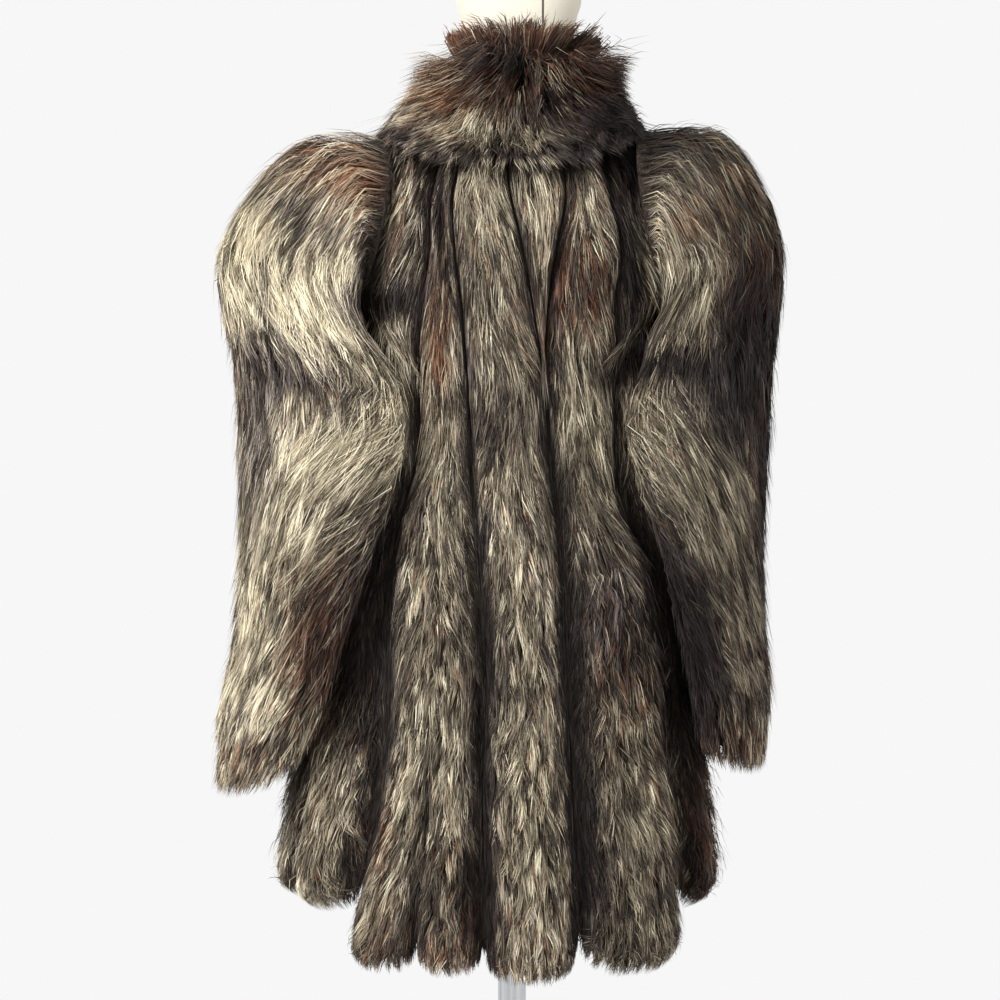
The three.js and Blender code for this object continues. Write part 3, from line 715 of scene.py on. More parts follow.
@dataclass(frozen=True)
class FurFinish:
    """Hair that runs from a dark root over a pale band to a pale or dark tip, looked up in a palette."""

    name: str
    roughness: float = 0.6

    def material(self) -> bpy.types.Material:
        """Colour from the kind of hair and its tone (down the palette), times its shade (along the hair)."""
        bench = Bench(self.name)
        uv = bench.out("ShaderNodeUVMap", "UV", {"uv_map": "Fur"})
        along = bench.out("ShaderNodeSeparateXYZ", "X", {}, {"Vector": uv})
        row = bench.out("ShaderNodeSeparateXYZ", "Y", {}, {"Vector": uv})
        stops = tuple(
            ((2 * kind.value + tip + tone) / PALETTE_ROWS, colour)
            for kind in Hair for tip in (0, 1) for tone, colour in
            ((0.06 + 0.88 * tone, colour) for tone, colour in HAIR_TONES[kind])
        )
        hue = bench.ramp(row, *stops)
        pale = bench.ramp(along, (0, (0.16, 0.14, 0.13)), (0.4, (0.62, 0.58, 0.55)), (0.7, (1, 1, 1)),
                          (1, (1, 0.98, 0.92)))
        dark = bench.ramp(along, (0, (0.14, 0.12, 0.12)), (0.38, (0.7, 0.68, 0.66)), (0.62, (1, 0.98, 0.95)),
                          (0.8, (0.26, 0.21, 0.18)), (1, (0.10, 0.075, 0.065)))
        tipped = ((row * PALETTE_ROWS) % 2) > 1.0
        colour = bench.blend(1.0, hue, bench.blend(tipped, pale, dark), "MULTIPLY")
        return bench.finish(Base_Color=colour, Roughness=self.roughness, Specular_IOR_Level=0.14)


@dataclass(frozen=True)
class UnderfurFinish:
    """Dense short underfur on the hide: dark brown, in fine downward streaks."""

    name: str

    def material(self) -> bpy.types.Material:
        """Streaky noise drawn out down the hide picks the brown and lifts the surface a little."""
        bench = Bench(self.name)
        streaks = bench.noise(420, (1, 1, 0.14), 4)
        colour = bench.ramp(streaks, (0.3, (0.008, 0.006, 0.005)), (0.55, (0.030, 0.022, 0.018)),
                            (0.75, (0.075, 0.058, 0.046)))
        bump = bench.out(
            "ShaderNodeBump", "Normal", {}, {"Height": streaks, "Strength": 0.8, "Distance": 0.002})
        return bench.finish(Base_Color=colour, Roughness=0.92, Specular_IOR_Level=0.15, Normal=bump)


@dataclass(frozen=True)
class CoverFinish:
    """Cream jersey drawn over the dress form, with a dark stitched seam down the neck."""

    name: str
    seam_x: float = -0.030

    def material(self) -> bpy.types.Material:
        """Fine crossed ribs lift the surface, soft stains vary the cream, and a line in x marks the seam."""
        bench = Bench(self.name)
        ribs = bench.noise(900, (1, 1, 0.5), 2)
        stains = bench.noise(9, (1, 1, 0.6), 3)
        cream = bench.ramp(stains, (0.3, (0.66, 0.60, 0.49)), (0.7, (0.80, 0.76, 0.66)))
        cloth = bench.blend(ribs * 0.35, cream, (0.52, 0.47, 0.38))
        where = bench.out("ShaderNodeTexCoord", "Object")
        x = bench.out("ShaderNodeSeparateXYZ", "X", {}, {"Vector": where})
        y = bench.out("ShaderNodeSeparateXYZ", "Y", {}, {"Vector": where})
        seam = (abs(x - self.seam_x) < 0.0011) * (y > 0.0)
        colour = bench.blend(seam, cloth, (0.10, 0.085, 0.07))
        bump = bench.out(
            "ShaderNodeBump", "Normal", {}, {"Height": ribs, "Strength": 0.35, "Distance": 0.0006})
        return bench.finish(Base_Color=colour, Roughness=0.85, Specular_IOR_Level=0.25, Normal=bump)


@dataclass(frozen=True)
class WoodFinish:
    """Varnished beech."""

    name: str

    def material(self) -> bpy.types.Material:
        """Noise drawn out along the grain picks its brown, with slower noise across."""
        bench = Bench(self.name)
        grain = bench.noise(160, (0.08, 1, 1), 4)
        slow = bench.noise(22, (0.3, 1, 1), 2)
        colour = bench.ramp(grain * 0.6 + slow * 0.4, (0.3, (0.46, 0.28, 0.14)), (0.7, (0.64, 0.43, 0.24)))
        return bench.finish(Base_Color=colour, Roughness=0.38, Coat_Weight=0.3)


@dataclass(frozen=True)
class MetalFinish:
    """Metal tube or painted plate, brushed or speckled."""

    name: str
    dark: Colour
    light: Colour
    metallic: float
    roughness: float
    stretch: Colour

    def material(self) -> bpy.types.Material:
        """Stretched noise varies the colour and the gloss."""
        bench = Bench(self.name)
        brushed = bench.noise(240, self.stretch, 3)
        colour = bench.ramp(brushed, (0.3, self.dark), (0.7, self.light))
        rough = brushed * 0.16 + (self.roughness - 0.08)
        return bench.finish(Base_Color=colour, Metallic=self.metallic, Roughness=rough)


@dataclass
class Hide:
    """A piece of the coat: a hide shell with its fur, between a skin side and a fur side."""

    name: str
    slot: str
    seed: int
    strands: int
    length: float = 54.0
    width: float = 0.9
    core: float = 0.34  # share of the fur's depth that the hide and its underfur fill
    held: str = "hung"
    ring: bool = False
    free_end: bool = True
    root_start: float = 0.0  # share down the piece where its hair starts
    reach: tuple[float, float] = (0.0, 1.0)  # shares across between which the hide lies
    rests_on: tuple[str, ...] = ("form_body",)
    low: Array = field(init=False, repr=False)
    high: Array = field(init=False, repr=False)

    def sides(self, across: Array, down: Array) -> tuple[Array, Array]:
        """Points on the skin side and the fur side, of shares across and down."""
        raise NotImplementedError

    def lay(self) -> None:
        """Fills the grids of the skin side and the fur side, and sinks the fur in the troughs."""
        across, down = np.meshgrid(np.linspace(0, 1, 73), np.linspace(0, 1, 97))
        self.low, self.high = self.sides(across, down)
        self.high = mix(self.low, self.high, sunk(self.high)[..., None])

    def at(self, grid: Array, across: Array, down: Array) -> Array:
        """Point of a grid between its four nearest, carried straight on past its ends.

        Args:
            grid: Rows and columns of points.
            across: Shares across.
            down: Shares down.

        Returns:
            The points.
        """
        rows, columns = grid.shape[:2]
        x = (across % 1.0 if self.ring else across) * (columns - 1)
        y = down * (rows - 1)
        j = np.clip(np.floor(x).astype(int), 0, columns - 2)
        i = np.clip(np.floor(y).astype(int), 0, rows - 2)
        u, v = (x - j)[..., None], (y - i)[..., None]
        top = mix(grid[i, j], grid[i, j + 1], u)
        foot = mix(grid[i + 1, j], grid[i + 1, j + 1], u)
        return mix(top, foot, v)

    def flow(self, across: Array, down: Array) -> Array:
        """Degrees that the hair leans from straight down the piece, positive towards its far side."""
        return np.zeros_like(across)

    def kept(self, across: Array, down: Array, tip_across: Array, tip_down: Array) -> tuple[Array, Array]:
        """Tips of the hair, no further from its roots than a share of the piece."""
        return (across + np.clip(tip_across - across, -0.12, 0.12),
                down + np.clip(tip_down - down, -0.16, 0.16))

    def groove_shade(self, across: Array, down: Array) -> Array:
        """One in the grooves between columns of fur, nothing on their crests: where shade is painted into the
        hair.
        """
        return np.zeros_like(across)

    def lift(self, across: Array, down: Array, rng: np.random.Generator) -> Array:
        """How far hair with roots there stands up, as a share of the fur's own height."""
        return np.ones_like(across)

    def hair_length(self, points: Array) -> Array:
        """Length of the hair at points: longer on the shoulders than down the skirt."""
        return self.length * mix(0.66, 1.0, np.clip((points[..., 2] - 880) / 260, 0, 1))

    def favour(self, points: Array) -> Array:
        """How thickly the hair is set, more on the back, whose hairs are finer."""
        return mix(0.42, 1.0, np.clip(points[..., 1] / 60 + 0.4, 0, 1))

    def locks(self) -> Weave:
        """Hair as tapered ribbons in clumps.

        A root is picked in proportion to the area round it. The hair leaves it down the flow, turned a
        little by its clump and by itself, and its tip is drawn towards the clump's own tip. Its height
        over the hide rises fast at first and then lies flat: one less the square of what is left.

        Returns:
            A mesh of a quad and a triangle for each hair, its texture place along and down the palette.
        """
        rng = np.random.default_rng(self.seed)
        rows, columns = self.high.shape[:2]
        side, fall = np.diff(self.high, axis=1)[:-1], np.diff(self.high, axis=0)[:, :-1]
        area = np.linalg.norm(np.cross(side, fall), axis=-1)
        weight = (area * self.favour(self.high[:-1, :-1])).ravel()
        weight /= weight.sum()
        spot = rng.choice(weight.size, self.strands, p=weight)
        a0 = (spot % (columns - 1) + rng.random(self.strands)) / (columns - 1)
        b0 = (spot // (columns - 1) + rng.random(self.strands)) / (rows - 1)
        b0 = self.root_start + (0.975 - self.root_start if self.free_end else 1 - self.root_start) * b0
        step = 0.008
        root = self.at(self.high, a0, b0)
        wide = np.linalg.norm(self.at(self.high, a0 + step, b0) - self.at(self.high, a0 - step, b0), axis=-1)
        tall = np.linalg.norm(self.at(self.high, a0, b0 + step) - self.at(self.high, a0, b0 - step), axis=-1)
        wide, tall = np.maximum(wide / (2 * step), 25), np.maximum(tall / (2 * step), 60)

        spread = float(np.linalg.norm(side, axis=-1).sum(1).mean())
        depth = float(np.linalg.norm(fall, axis=-1).sum(0).mean())
        across_cells, down_cells = max(spread / 5.0, 2), max(depth / 12.5, 2)
        cb = np.floor(b0 * down_cells)
        ca = np.floor(a0 * across_cells + 0.5 * (cb % 2))
        key = ((ca * 7919 + cb * 104729) % 8191).astype(int)
        clump = np.random.default_rng(self.seed + 1).normal(size=(8191, 5)).clip(-1.7, 1.7)[key]
        centre_a = (ca + 0.5 - 0.5 * (cb % 2)) / across_cells
        centre_b = (cb + 0.5) / down_cells

        own = rng.normal(size=(self.strands, 5))
        reach = self.hair_length(root)
        lean = self.flow(a0, b0) + 9 * drift(root, 70, self.seed + 2)
        loose = mix(13, 9, np.clip((root[:, 2] - 880) / 260, 0, 1))
        tuft_lean = np.radians(lean + loose * clump[:, 0])
        tuft_reach = reach * (1 + 0.2 * np.clip(clump[:, 1], -2, 2))
        hair_lean = tuft_lean + np.radians(5 * own[:, 0])
        hair_reach = tuft_reach * (1 + 0.16 * np.clip(own[:, 1], -2, 2))
        pull = 0.72 * rng.random(self.strands) ** 0.5
        a1 = mix(a0 + hair_reach * np.sin(hair_lean) / wide,
                 centre_a + tuft_reach * np.sin(tuft_lean) / wide, pull)
        b1 = mix(b0 + hair_reach * np.cos(hair_lean) / tall, centre_b + tuft_reach * np.cos(tuft_lean) / tall,
                 0.4 * pull)
        a1, b1 = self.kept(a0, b0, a1, b1)
        if self.free_end:
            b1 = np.minimum(b1, 1.0 - 0.012 * np.abs(own[:, 2]) + 0.003)
        am = mix(a0, a1, 0.5) + 1.6 * own[:, 3] / wide
        bm = mix(b0, b1, 0.5)

        stray = rng.random(self.strands) < 0.03
        h0 = self.core * 0.85
        h1 = np.clip(0.95 - 0.42 * rng.random(self.strands) ** 1.6 + 0.07 * clump[:, 2], 0.4, 1.06)
        h1 = np.where(stray, 1.08 + 0.22 * rng.random(self.strands), h1) * self.lift(a0, b0, rng)
        hm = mix(h0, h1, 0.78)
        spots = [(a0, b0, h0), (am, bm, hm), (a1, b1, h1)]
        points = [
            mix(self.at(self.low, a, b), self.at(self.high, a, b), np.broadcast_to(h, a.shape)[:, None])
            for a, b, h in spots
        ]
        along = unit(points[2] - points[0])
        out = unit(self.at(self.high, a0, b0) - self.at(self.low, a0, b0))
        roll = np.radians(32 * own[:, 4])[:, None]
        edge = unit(np.cross(along, out)) * np.cos(roll) + out * np.sin(roll)
        fine = self.width * mix(1.9, 1.0, np.clip(root[:, 1] / 60 + 0.4, 0, 1))
        fine = fine * rng.uniform(0.7, 1.3, self.strands)
        fine = (fine * np.where(stray, 0.55, 1.0))[:, None]
        vertices = np.stack([
            points[0] - edge * fine * 0.35, points[0] + edge * fine * 0.35,
            points[1] - edge * fine * 0.5, points[1] + edge * fine * 0.5, points[2],
        ], 1).reshape(-1, 3)

        down_palette = self.palette(points[1], points[2], a0, b0, clump[:, 3:], rng)
        thick = 0.035 / PALETTE_ROWS
        low, high = down_palette - thick, down_palette + thick
        first, half, last = np.full_like(low, 0.02), np.full_like(low, 0.5), np.full_like(low, 0.98)
        places = np.stack([
            first, low, half, low, half, high, first, high, half, low, last, down_palette, half, high,
        ], 1).reshape(-1, 2)
        base = np.arange(self.strands)[:, None] * 5
        corners = base + np.array([0, 2, 3, 1, 2, 4, 3])
        starts = np.arange(self.strands)[:, None] * 7 + np.array([0, 4])
        return Weave(vertices, corners.ravel(), starts.ravel(), places)

    def palette(self, middle: Array, tip: Array, across: Array, down: Array, clump: Array,
                rng: np.random.Generator) -> Array:
        """Place of each hair down the palette, from its kind, tip and tone. The tone carries painted shade in the
        grooves and troughs, and painted light that makes the hair paler on the wearer's left.

        Args:
            middle: Middles of the hairs.
            tip: Their tips.
            across: Their shares across the hide.
            down: Their shares down it.
            clump: Two chance values for each one's clump.
            rng: Source of chance.

        Returns:
            Shares down the palette.
        """
        spot = mix(middle, tip, 0.5)
        x, y = seen(spot)
        y = y + 46 * np.clip(-spot[:, 1] / 60, 0, 1)
        tone = 0.47 + 0.14 * drift(spot, 60, 11) + 0.10 * drift(spot, 24, 12)
        kinds = np.stack([np.full(len(x), 1.0), 0.10 + 0.12 * drift(spot, 90, 13),
                          0.20 + 0.2 * drift(spot, 80, 14)], 1).clip(0.02)
        for patch in PATCHES:
            share = patch.share(x, y)
            tone = mix(tone, patch.tone, share)
            kinds = kinds * (1 - 0.9 * share)[:, None]
            kinds[:, patch.hair.value] += share
        # painted shade: hair darkened in the grooves between columns of fur and in the troughs
        groove_shade = self.groove_shade(across, down)
        tone = tone * (1 - 0.85 * groove_shade) * mix(0.2, 1.0, sunk(spot) ** 1.3)
        # painted light: hair paler on the wearer's left, where the light falls, and darker towards the right
        tone = tone * mix(1.2, 0.84, np.clip((x - 250) / 450, 0, 1))
        tone = tone * (1 + 0.30 * clump[:, 0]) + 0.05 * clump[:, 0] + rng.normal(0, 0.07, len(x))
        # painted shade: dark smoky hair put in the grooves
        kinds[:, Hair.SMOKE.value] += 1.5 * groove_shade
        chance = rng.random(len(x)) * kinds.sum(1)
        kind = (chance > kinds[:, 0]).astype(int) + (chance > kinds[:, :2].sum(1)).astype(int)
        dark_tip = clump[:, 1] + 0.6 * rng.normal(size=len(x)) > 0.1 + 1.6 * np.maximum(tone - 0.6, 0)
        return (2 * kind + dark_tip + 0.06 + 0.88 * np.clip(tone, 0.02, 0.98)) / PALETTE_ROWS

    def build(self, hide: bpy.types.Material, fur: bpy.types.Material) -> None:
        """Args:
            hide: Finish of the hide and underfur.
            fur: Finish of the hair.
        """
        self.lay()
        rows, columns = self.shell_steps()
        across, down = np.meshgrid(np.linspace(*self.reach, columns),
                                   np.linspace(self.root_start, self.shell_end(), rows))
        skin = self.at(self.low, across, down)
        if self.ring:
            skin[:, -1] = skin[:, 0]
        over = mix(skin, self.at(self.high, across, down), self.core)
        if self.ring:
            over[:, -1] = over[:, 0]
        cloth = shell(over, skin, self.ring).make(f"{self.name}_hide", hide)
        hair = self.locks().make(f"{self.name}_fur", fur)
        for piece in (cloth, hair):
            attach(piece, "root")
            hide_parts(self.name)

    def shell_steps(self) -> tuple[int, int]:
        """Rows and columns of the hide shell."""
        return 44, 25

    def shell_end(self) -> float:
        """Share down the piece where the hide ends and only hair goes on."""
        return 0.965 if self.free_end else 1.0


@dataclass
class Pelt(Hide):
    """A panel of the body between two seams, with columns of fur."""

    start: str | float = 0.0
    end: str | float = 0.0
    hem: float = 600.0
    notch: float = 0.0
    lobes: float = 1
    hem_lobes: int = 0
    phase: float = 0.0  # share of a column by which the columns are moved across
    top: float = 0.0  # nothing where the panel reaches the neckline
    sweep: float = 0.0  # degrees that the hair leans at the shoulder

    @staticmethod
    def seam(line: str | float, level: Array) -> Array:
        """Turn of a seam at levels, straight between its rows."""
        if isinstance(line, (int, float)):
            return np.full_like(level, float(line))
        levels, turns = SEAMS[line]
        return np.interp(level, levels[::-1], turns[::-1])

    def swell(self, share: Array, lobes: float, gap: Array | float = 0.0) -> Array:
        """Swell of each column of fur: the root of one less a power of the distance from its crest."""
        far = np.abs(2 * ((share * lobes + self.phase) % 1) - 1) * (1 + gap)
        return np.sqrt(np.maximum(1 - far**2.6, 0))

    def crest(self, share: Array, level: Array) -> Array:
        """Swell of the columns, wider apart down the skirt, and more of them at a hem with more lobes."""
        more = self.hem_lobes or self.lobes
        low = np.clip((level - 600) / 180, 0, 1)
        wave = 1 + 0.55 * np.sin(level / 31 + self.seed) * np.sin(level / 83 + 2 * self.seed)
        gap = 0.19 * wave * np.clip((1180 - level) / 240, 0.2, 1) * np.clip((level - 560) / 60, 0, 1)
        return mix(self.swell(share, more, gap), self.swell(share, self.lobes, gap), low)

    def level(self, across: Array, down: Array) -> tuple[Array, Array]:
        """Level of a point and of the tips below it: the hem rises beside each lobe by the notch."""
        bottom = self.hem + self.notch * (1 - self.swell(np.clip(across, 0, 1), self.hem_lobes or self.lobes))
        edge = mix(self.seam(self.start, np.full_like(across, NECKLINE)),
                   self.seam(self.end, np.full_like(across, NECKLINE)), across)
        top = self.top or neckline(edge)
        return mix(top, bottom, down), bottom

    def sides(self, across: Array, down: Array) -> tuple[Array, Array]:
        """Skin on the coat's section at the turn between the seams, and fur out along its normal."""
        level, bottom = self.level(across, down)
        turn = mix(self.seam(self.start, level), self.seam(self.end, level), across)
        end = np.clip((level - bottom) / 34, 0, 1) if self.notch else np.ones_like(level)
        rounded = mix(0.42, 1.0, np.sqrt(1 - (1 - end) ** 2))
        reach = fur_at(level) * mix(0.24, 1.03, self.crest(across, level)) * rounded
        return body_point(COAT, turn, level), coat_out(turn, level, reach)

    def groove_shade(self, across: Array, down: Array) -> Array:
        """What the swell lacks of a crest, squared, which sets the painted shade in the grooves."""
        level, _ = self.level(across, down)
        return (1 - self.crest(np.clip(across, 0, 1), level)) ** 1.3

    def kept(self, across: Array, down: Array, tip_across: Array, tip_down: Array) -> tuple[Array, Array]:
        """Tips in the same column of fur as their roots, or just past it at a free hem."""
        place = across * self.lobes + self.phase
        column_start = np.floor(place)
        near_hem = np.clip((down - 0.86) / 0.08, 0, 1) if self.notch else 0.0
        inset = mix(0.03, -0.08, near_hem)
        tip = np.clip(tip_across * self.lobes + self.phase, column_start + inset, column_start + 1 - inset)
        inside = np.clip(np.abs(tip - place), 0, 0.4) * np.sign(tip - place)
        return (place + inside - self.phase) / self.lobes, down + np.clip(tip_down - down, 0, 0.6)

    def flow(self, across: Array, down: Array) -> Array:
        """Parted a little off each crest, and swept sideways at the shoulder."""
        level, _ = self.level(across, down)
        part = 2 * ((across * self.lobes + self.phase) % 1) - 1
        return 11 * part + self.sweep * np.clip((level - 1120) / 180, 0, 1)

    def lift(self, across: Array, down: Array, rng: np.random.Generator) -> Array:
        """Shoulder wedges' hair stands up to the collar and the sleeve's head."""
        if self.lobes >= 1:
            return np.ones_like(across)
        return 1 + (0.5 + 0.6 * rng.random(len(down))) * np.clip(1 - down / 0.22, 0, 1)

    def favour(self, points: Array) -> Array:
        """Thickest on the back, and thin where a sleeve lies over a side panel."""
        back = super().favour(points)
        if self.top and self.lobes > 1:
            aside = np.clip((np.abs(points[..., 0]) - 120) / 20, 0, 1)
            covered = np.clip((points[..., 2] - 800) / 60, 0, 1) * aside
            return back * mix(1.25, 0.15, covered)
        return back

    def shell_steps(self) -> tuple[int, int]:
        """More columns over more lobes."""
        return 44, 14 * math.ceil(max(self.lobes, self.hem_lobes)) + 1

    def shell_end(self) -> float:
        """The hide ends 16 mm above the tips at a free hem."""
        return 1 - 16 / ((self.top or NECKLINE) - self.hem) if self.notch else 1.0


@dataclass
class Sleeve(Hide):
    """A wide sleeve: sections turn about the underarm, then hang against the body."""

    side: int = 1

    def cap(self, row: tuple[float, ...], angle: Array, wall: float) -> Array:
        """Ring of an upper section: powered sine and cosine about the middle of crown and underarm."""
        crown_x, crown_z, under_x, under_z, edge, middle, deep = row
        half = ((crown_x - under_x) / 2, (crown_z - under_z) / 2)
        keep = 1 - wall / math.hypot(*half)
        h, s = swing(np.cos(angle), 0.8) * keep, swing(np.sin(angle), 0.8)
        x = crown_x - half[0] + half[0] * h + (edge - crown_x + half[0]) * s * s
        y = middle + (deep - wall) * s * (1 - 0.22 * np.maximum(h, 0))
        return np.stack([self.side * x, y, crown_z - half[1] + half[1] * h], -1)

    def hang(self, row: tuple[float, ...], angle: Array, wall: float) -> Array:
        """Ring of a hanging section: as deep as the room beside the body, thinner at back and front."""
        level, reach, back, front, rise = row
        middle = (back + front) / 2
        h, s = swing(np.cos(angle), 0.85), swing(np.sin(angle), 0.85)
        z = level + rise * (1 - h) / 2
        fur = fur_at(z)
        flank = self.side * body_point(COAT, 90.0 * self.side, z)[..., 0]
        thick = (reach - flank - fur - EASE) * mix(1, THINNED, np.abs(s) ** 2.5)
        draw = wall / math.radians(230)
        turn = middle - np.where(s > 0, middle - back - draw, front - middle - draw) * s
        here = mix(PRESSED_WALL, wall, (h + 1) / 2) if wall else 0.0
        out = fur + EASE + thick / 2 + (thick / 2 - here) * h
        return body_point(COAT, self.side * turn, z) + away_from_axis(self.side * turn) * out[..., None]

    @staticmethod
    def pressed(points: Array, wall: float) -> Array:
        """Points below the armhole, moved out from the axis where they would be in the panels' fur."""
        shift = column(COAT, Section.SHIFT, points[..., 2])
        x, y = points[..., 0] - shift, points[..., 1]
        skin = body_point(COAT, np.degrees(np.arctan2(x, y)), points[..., 2])
        need = (np.hypot(skin[..., 0] - shift, skin[..., 1]) + fur_at(points[..., 2]) + EASE
                + min(wall, PRESSED_WALL))
        have = np.hypot(x, y)
        grow = np.where((have >= need) | (points[..., 2] > ARMHOLE + 4), 1.0, need / np.maximum(have, 1))
        return np.stack([shift + x * grow, y * grow, points[..., 2]], -1)

    def sides(self, across: Array, down: Array) -> tuple[Array, Array]:
        """Both sides of the sleeve, splined down through its rings."""
        angle = across[0] * 2 * math.pi

        def wall(thick: float) -> Array:
            """Grid of the sleeve drawn in by a wall."""
            rings = [self.cap(row, angle, thick) for row in CAPS[self.side]]
            rings += [self.hang(row, angle, thick) for row in HANGS[self.side]]
            return self.pressed(threaded(np.stack(rings), down[:, 0]), thick)

        return wall(SLEEVE_WALL), wall(0.0)

    def flow(self, across: Array, down: Array) -> Array:
        """Towards the outer edge where the sleeve is wide, upper right to lower left on the wearer's left."""
        wide = np.exp(-(((down - 0.56) / 0.16) ** 2))
        return -np.sin(across * 2 * math.pi) * (10 + 26 * wide)

    def favour(self, points: Array) -> Array:
        """Thickest on the back and outside, thin where the sleeve lies on the body."""
        outer = np.clip((np.abs(points[..., 0]) - 175) / 40, 0.1, 1)
        back = mix(0.42, 1.0, np.clip(points[..., 1] / 60 + 0.4, 0, 1))
        return np.maximum(outer, np.clip(points[..., 1] / 60 - 0.8, 0, 1)) * back

    def shell_steps(self) -> tuple[int, int]:
        """A fine ring."""
        return 64, 65

    def shell_end(self) -> float:
        """The hide ends a finger above the lowest tips."""
        return 0.97


@dataclass
class FoldedCollar(Hide):
    """The folded collar, from one front edge round the back to the other."""

    def sides(self, across: Array, down: Array) -> tuple[Array, Array]:
        """Fur side from the neck over the crown to the lip, and a core inside it, splined through six rows."""
        turn = mix(-171.0, 171.0, across[0])
        edge, fall, crown, lean = (through(COLLAR[:, 0], COLLAR[:, k], turn) for k in (1, 2, 3, 4))
        top = neckline(turn) - 1
        away = away_from_axis(turn)

        def form(level: Array, out: Array | float) -> Array:
            """Point that far outside the dress form."""
            return body_point(FORM, turn, level) + away * np.broadcast_to(out, turn.shape)[..., None]

        fur = fur_at(edge)
        lip = coat_out(turn, edge, fur + fall * 0.72) - np.array([0.0, 0.0, 4.0])
        shoulder = coat_out(turn, mix(top, edge, 0.8), fur + fall)
        brow = form(crown - 16, lean * 1.1)
        outer = [form(crown - 9, 1.5), form(crown, lean * 0.55), brow, mix(brow, shoulder, 0.5) + away,
                 shoulder, lip]
        seat = coat_out(turn, mix(top, edge, 0.75), fur_at(mix(top, edge, 0.75)) + EASE + 2)
        inner = [form(crown - 16, 1.5), form(crown - 16, 3.0), form(crown - 34, 3.5),
                 mix(form(crown - 60, 4.0), seat, 0.4),
                 mix(form(top + 2, 6.0), seat, 0.8), seat]
        return threaded(np.stack(inner), down[:, 0]), threaded(np.stack(outer), down[:, 0])

    def flow(self, across: Array, down: Array) -> Array:
        """Fanned out from the centre back: up to the crown above a parting, down to the lip below it."""
        fan = 34 * np.sin((across - 0.5) * 2 * math.pi)
        parting = 0.36 + 0.05 * np.sin(across * 31)
        return np.where(down < parting, 180 - 1.4 * fan, fan * (1 - 0.5 * down))

    def kept(self, across: Array, down: Array, tip_across: Array, tip_down: Array) -> tuple[Array, Array]:
        """Tips that stop at the crown."""
        a, b = super().kept(across, down, tip_across, tip_down)
        return a, np.where(down > 0.16, np.maximum(b, 0.17 + 0.04 * np.sin(across * 170)), b)

    def lift(self, across: Array, down: Array, rng: np.random.Generator) -> Array:
        """Hair near the parting stands out, and at the crown some of it stands far up."""
        chance = rng.random(len(down))
        crown = (0.25 + 0.9 * chance**2) * np.exp(-(((down - 0.24) / 0.08) ** 2))
        return 1 + crown + (0.35 + 0.5 * chance) * np.exp(-(((down - 0.4) / 0.1) ** 2))

    def hair_length(self, points: Array) -> Array:
        """The same all round."""
        return np.full(points.shape[:-1], self.length)

    def shell_steps(self) -> tuple[int, int]:
        """Many columns round the neck."""
        return 22, 97


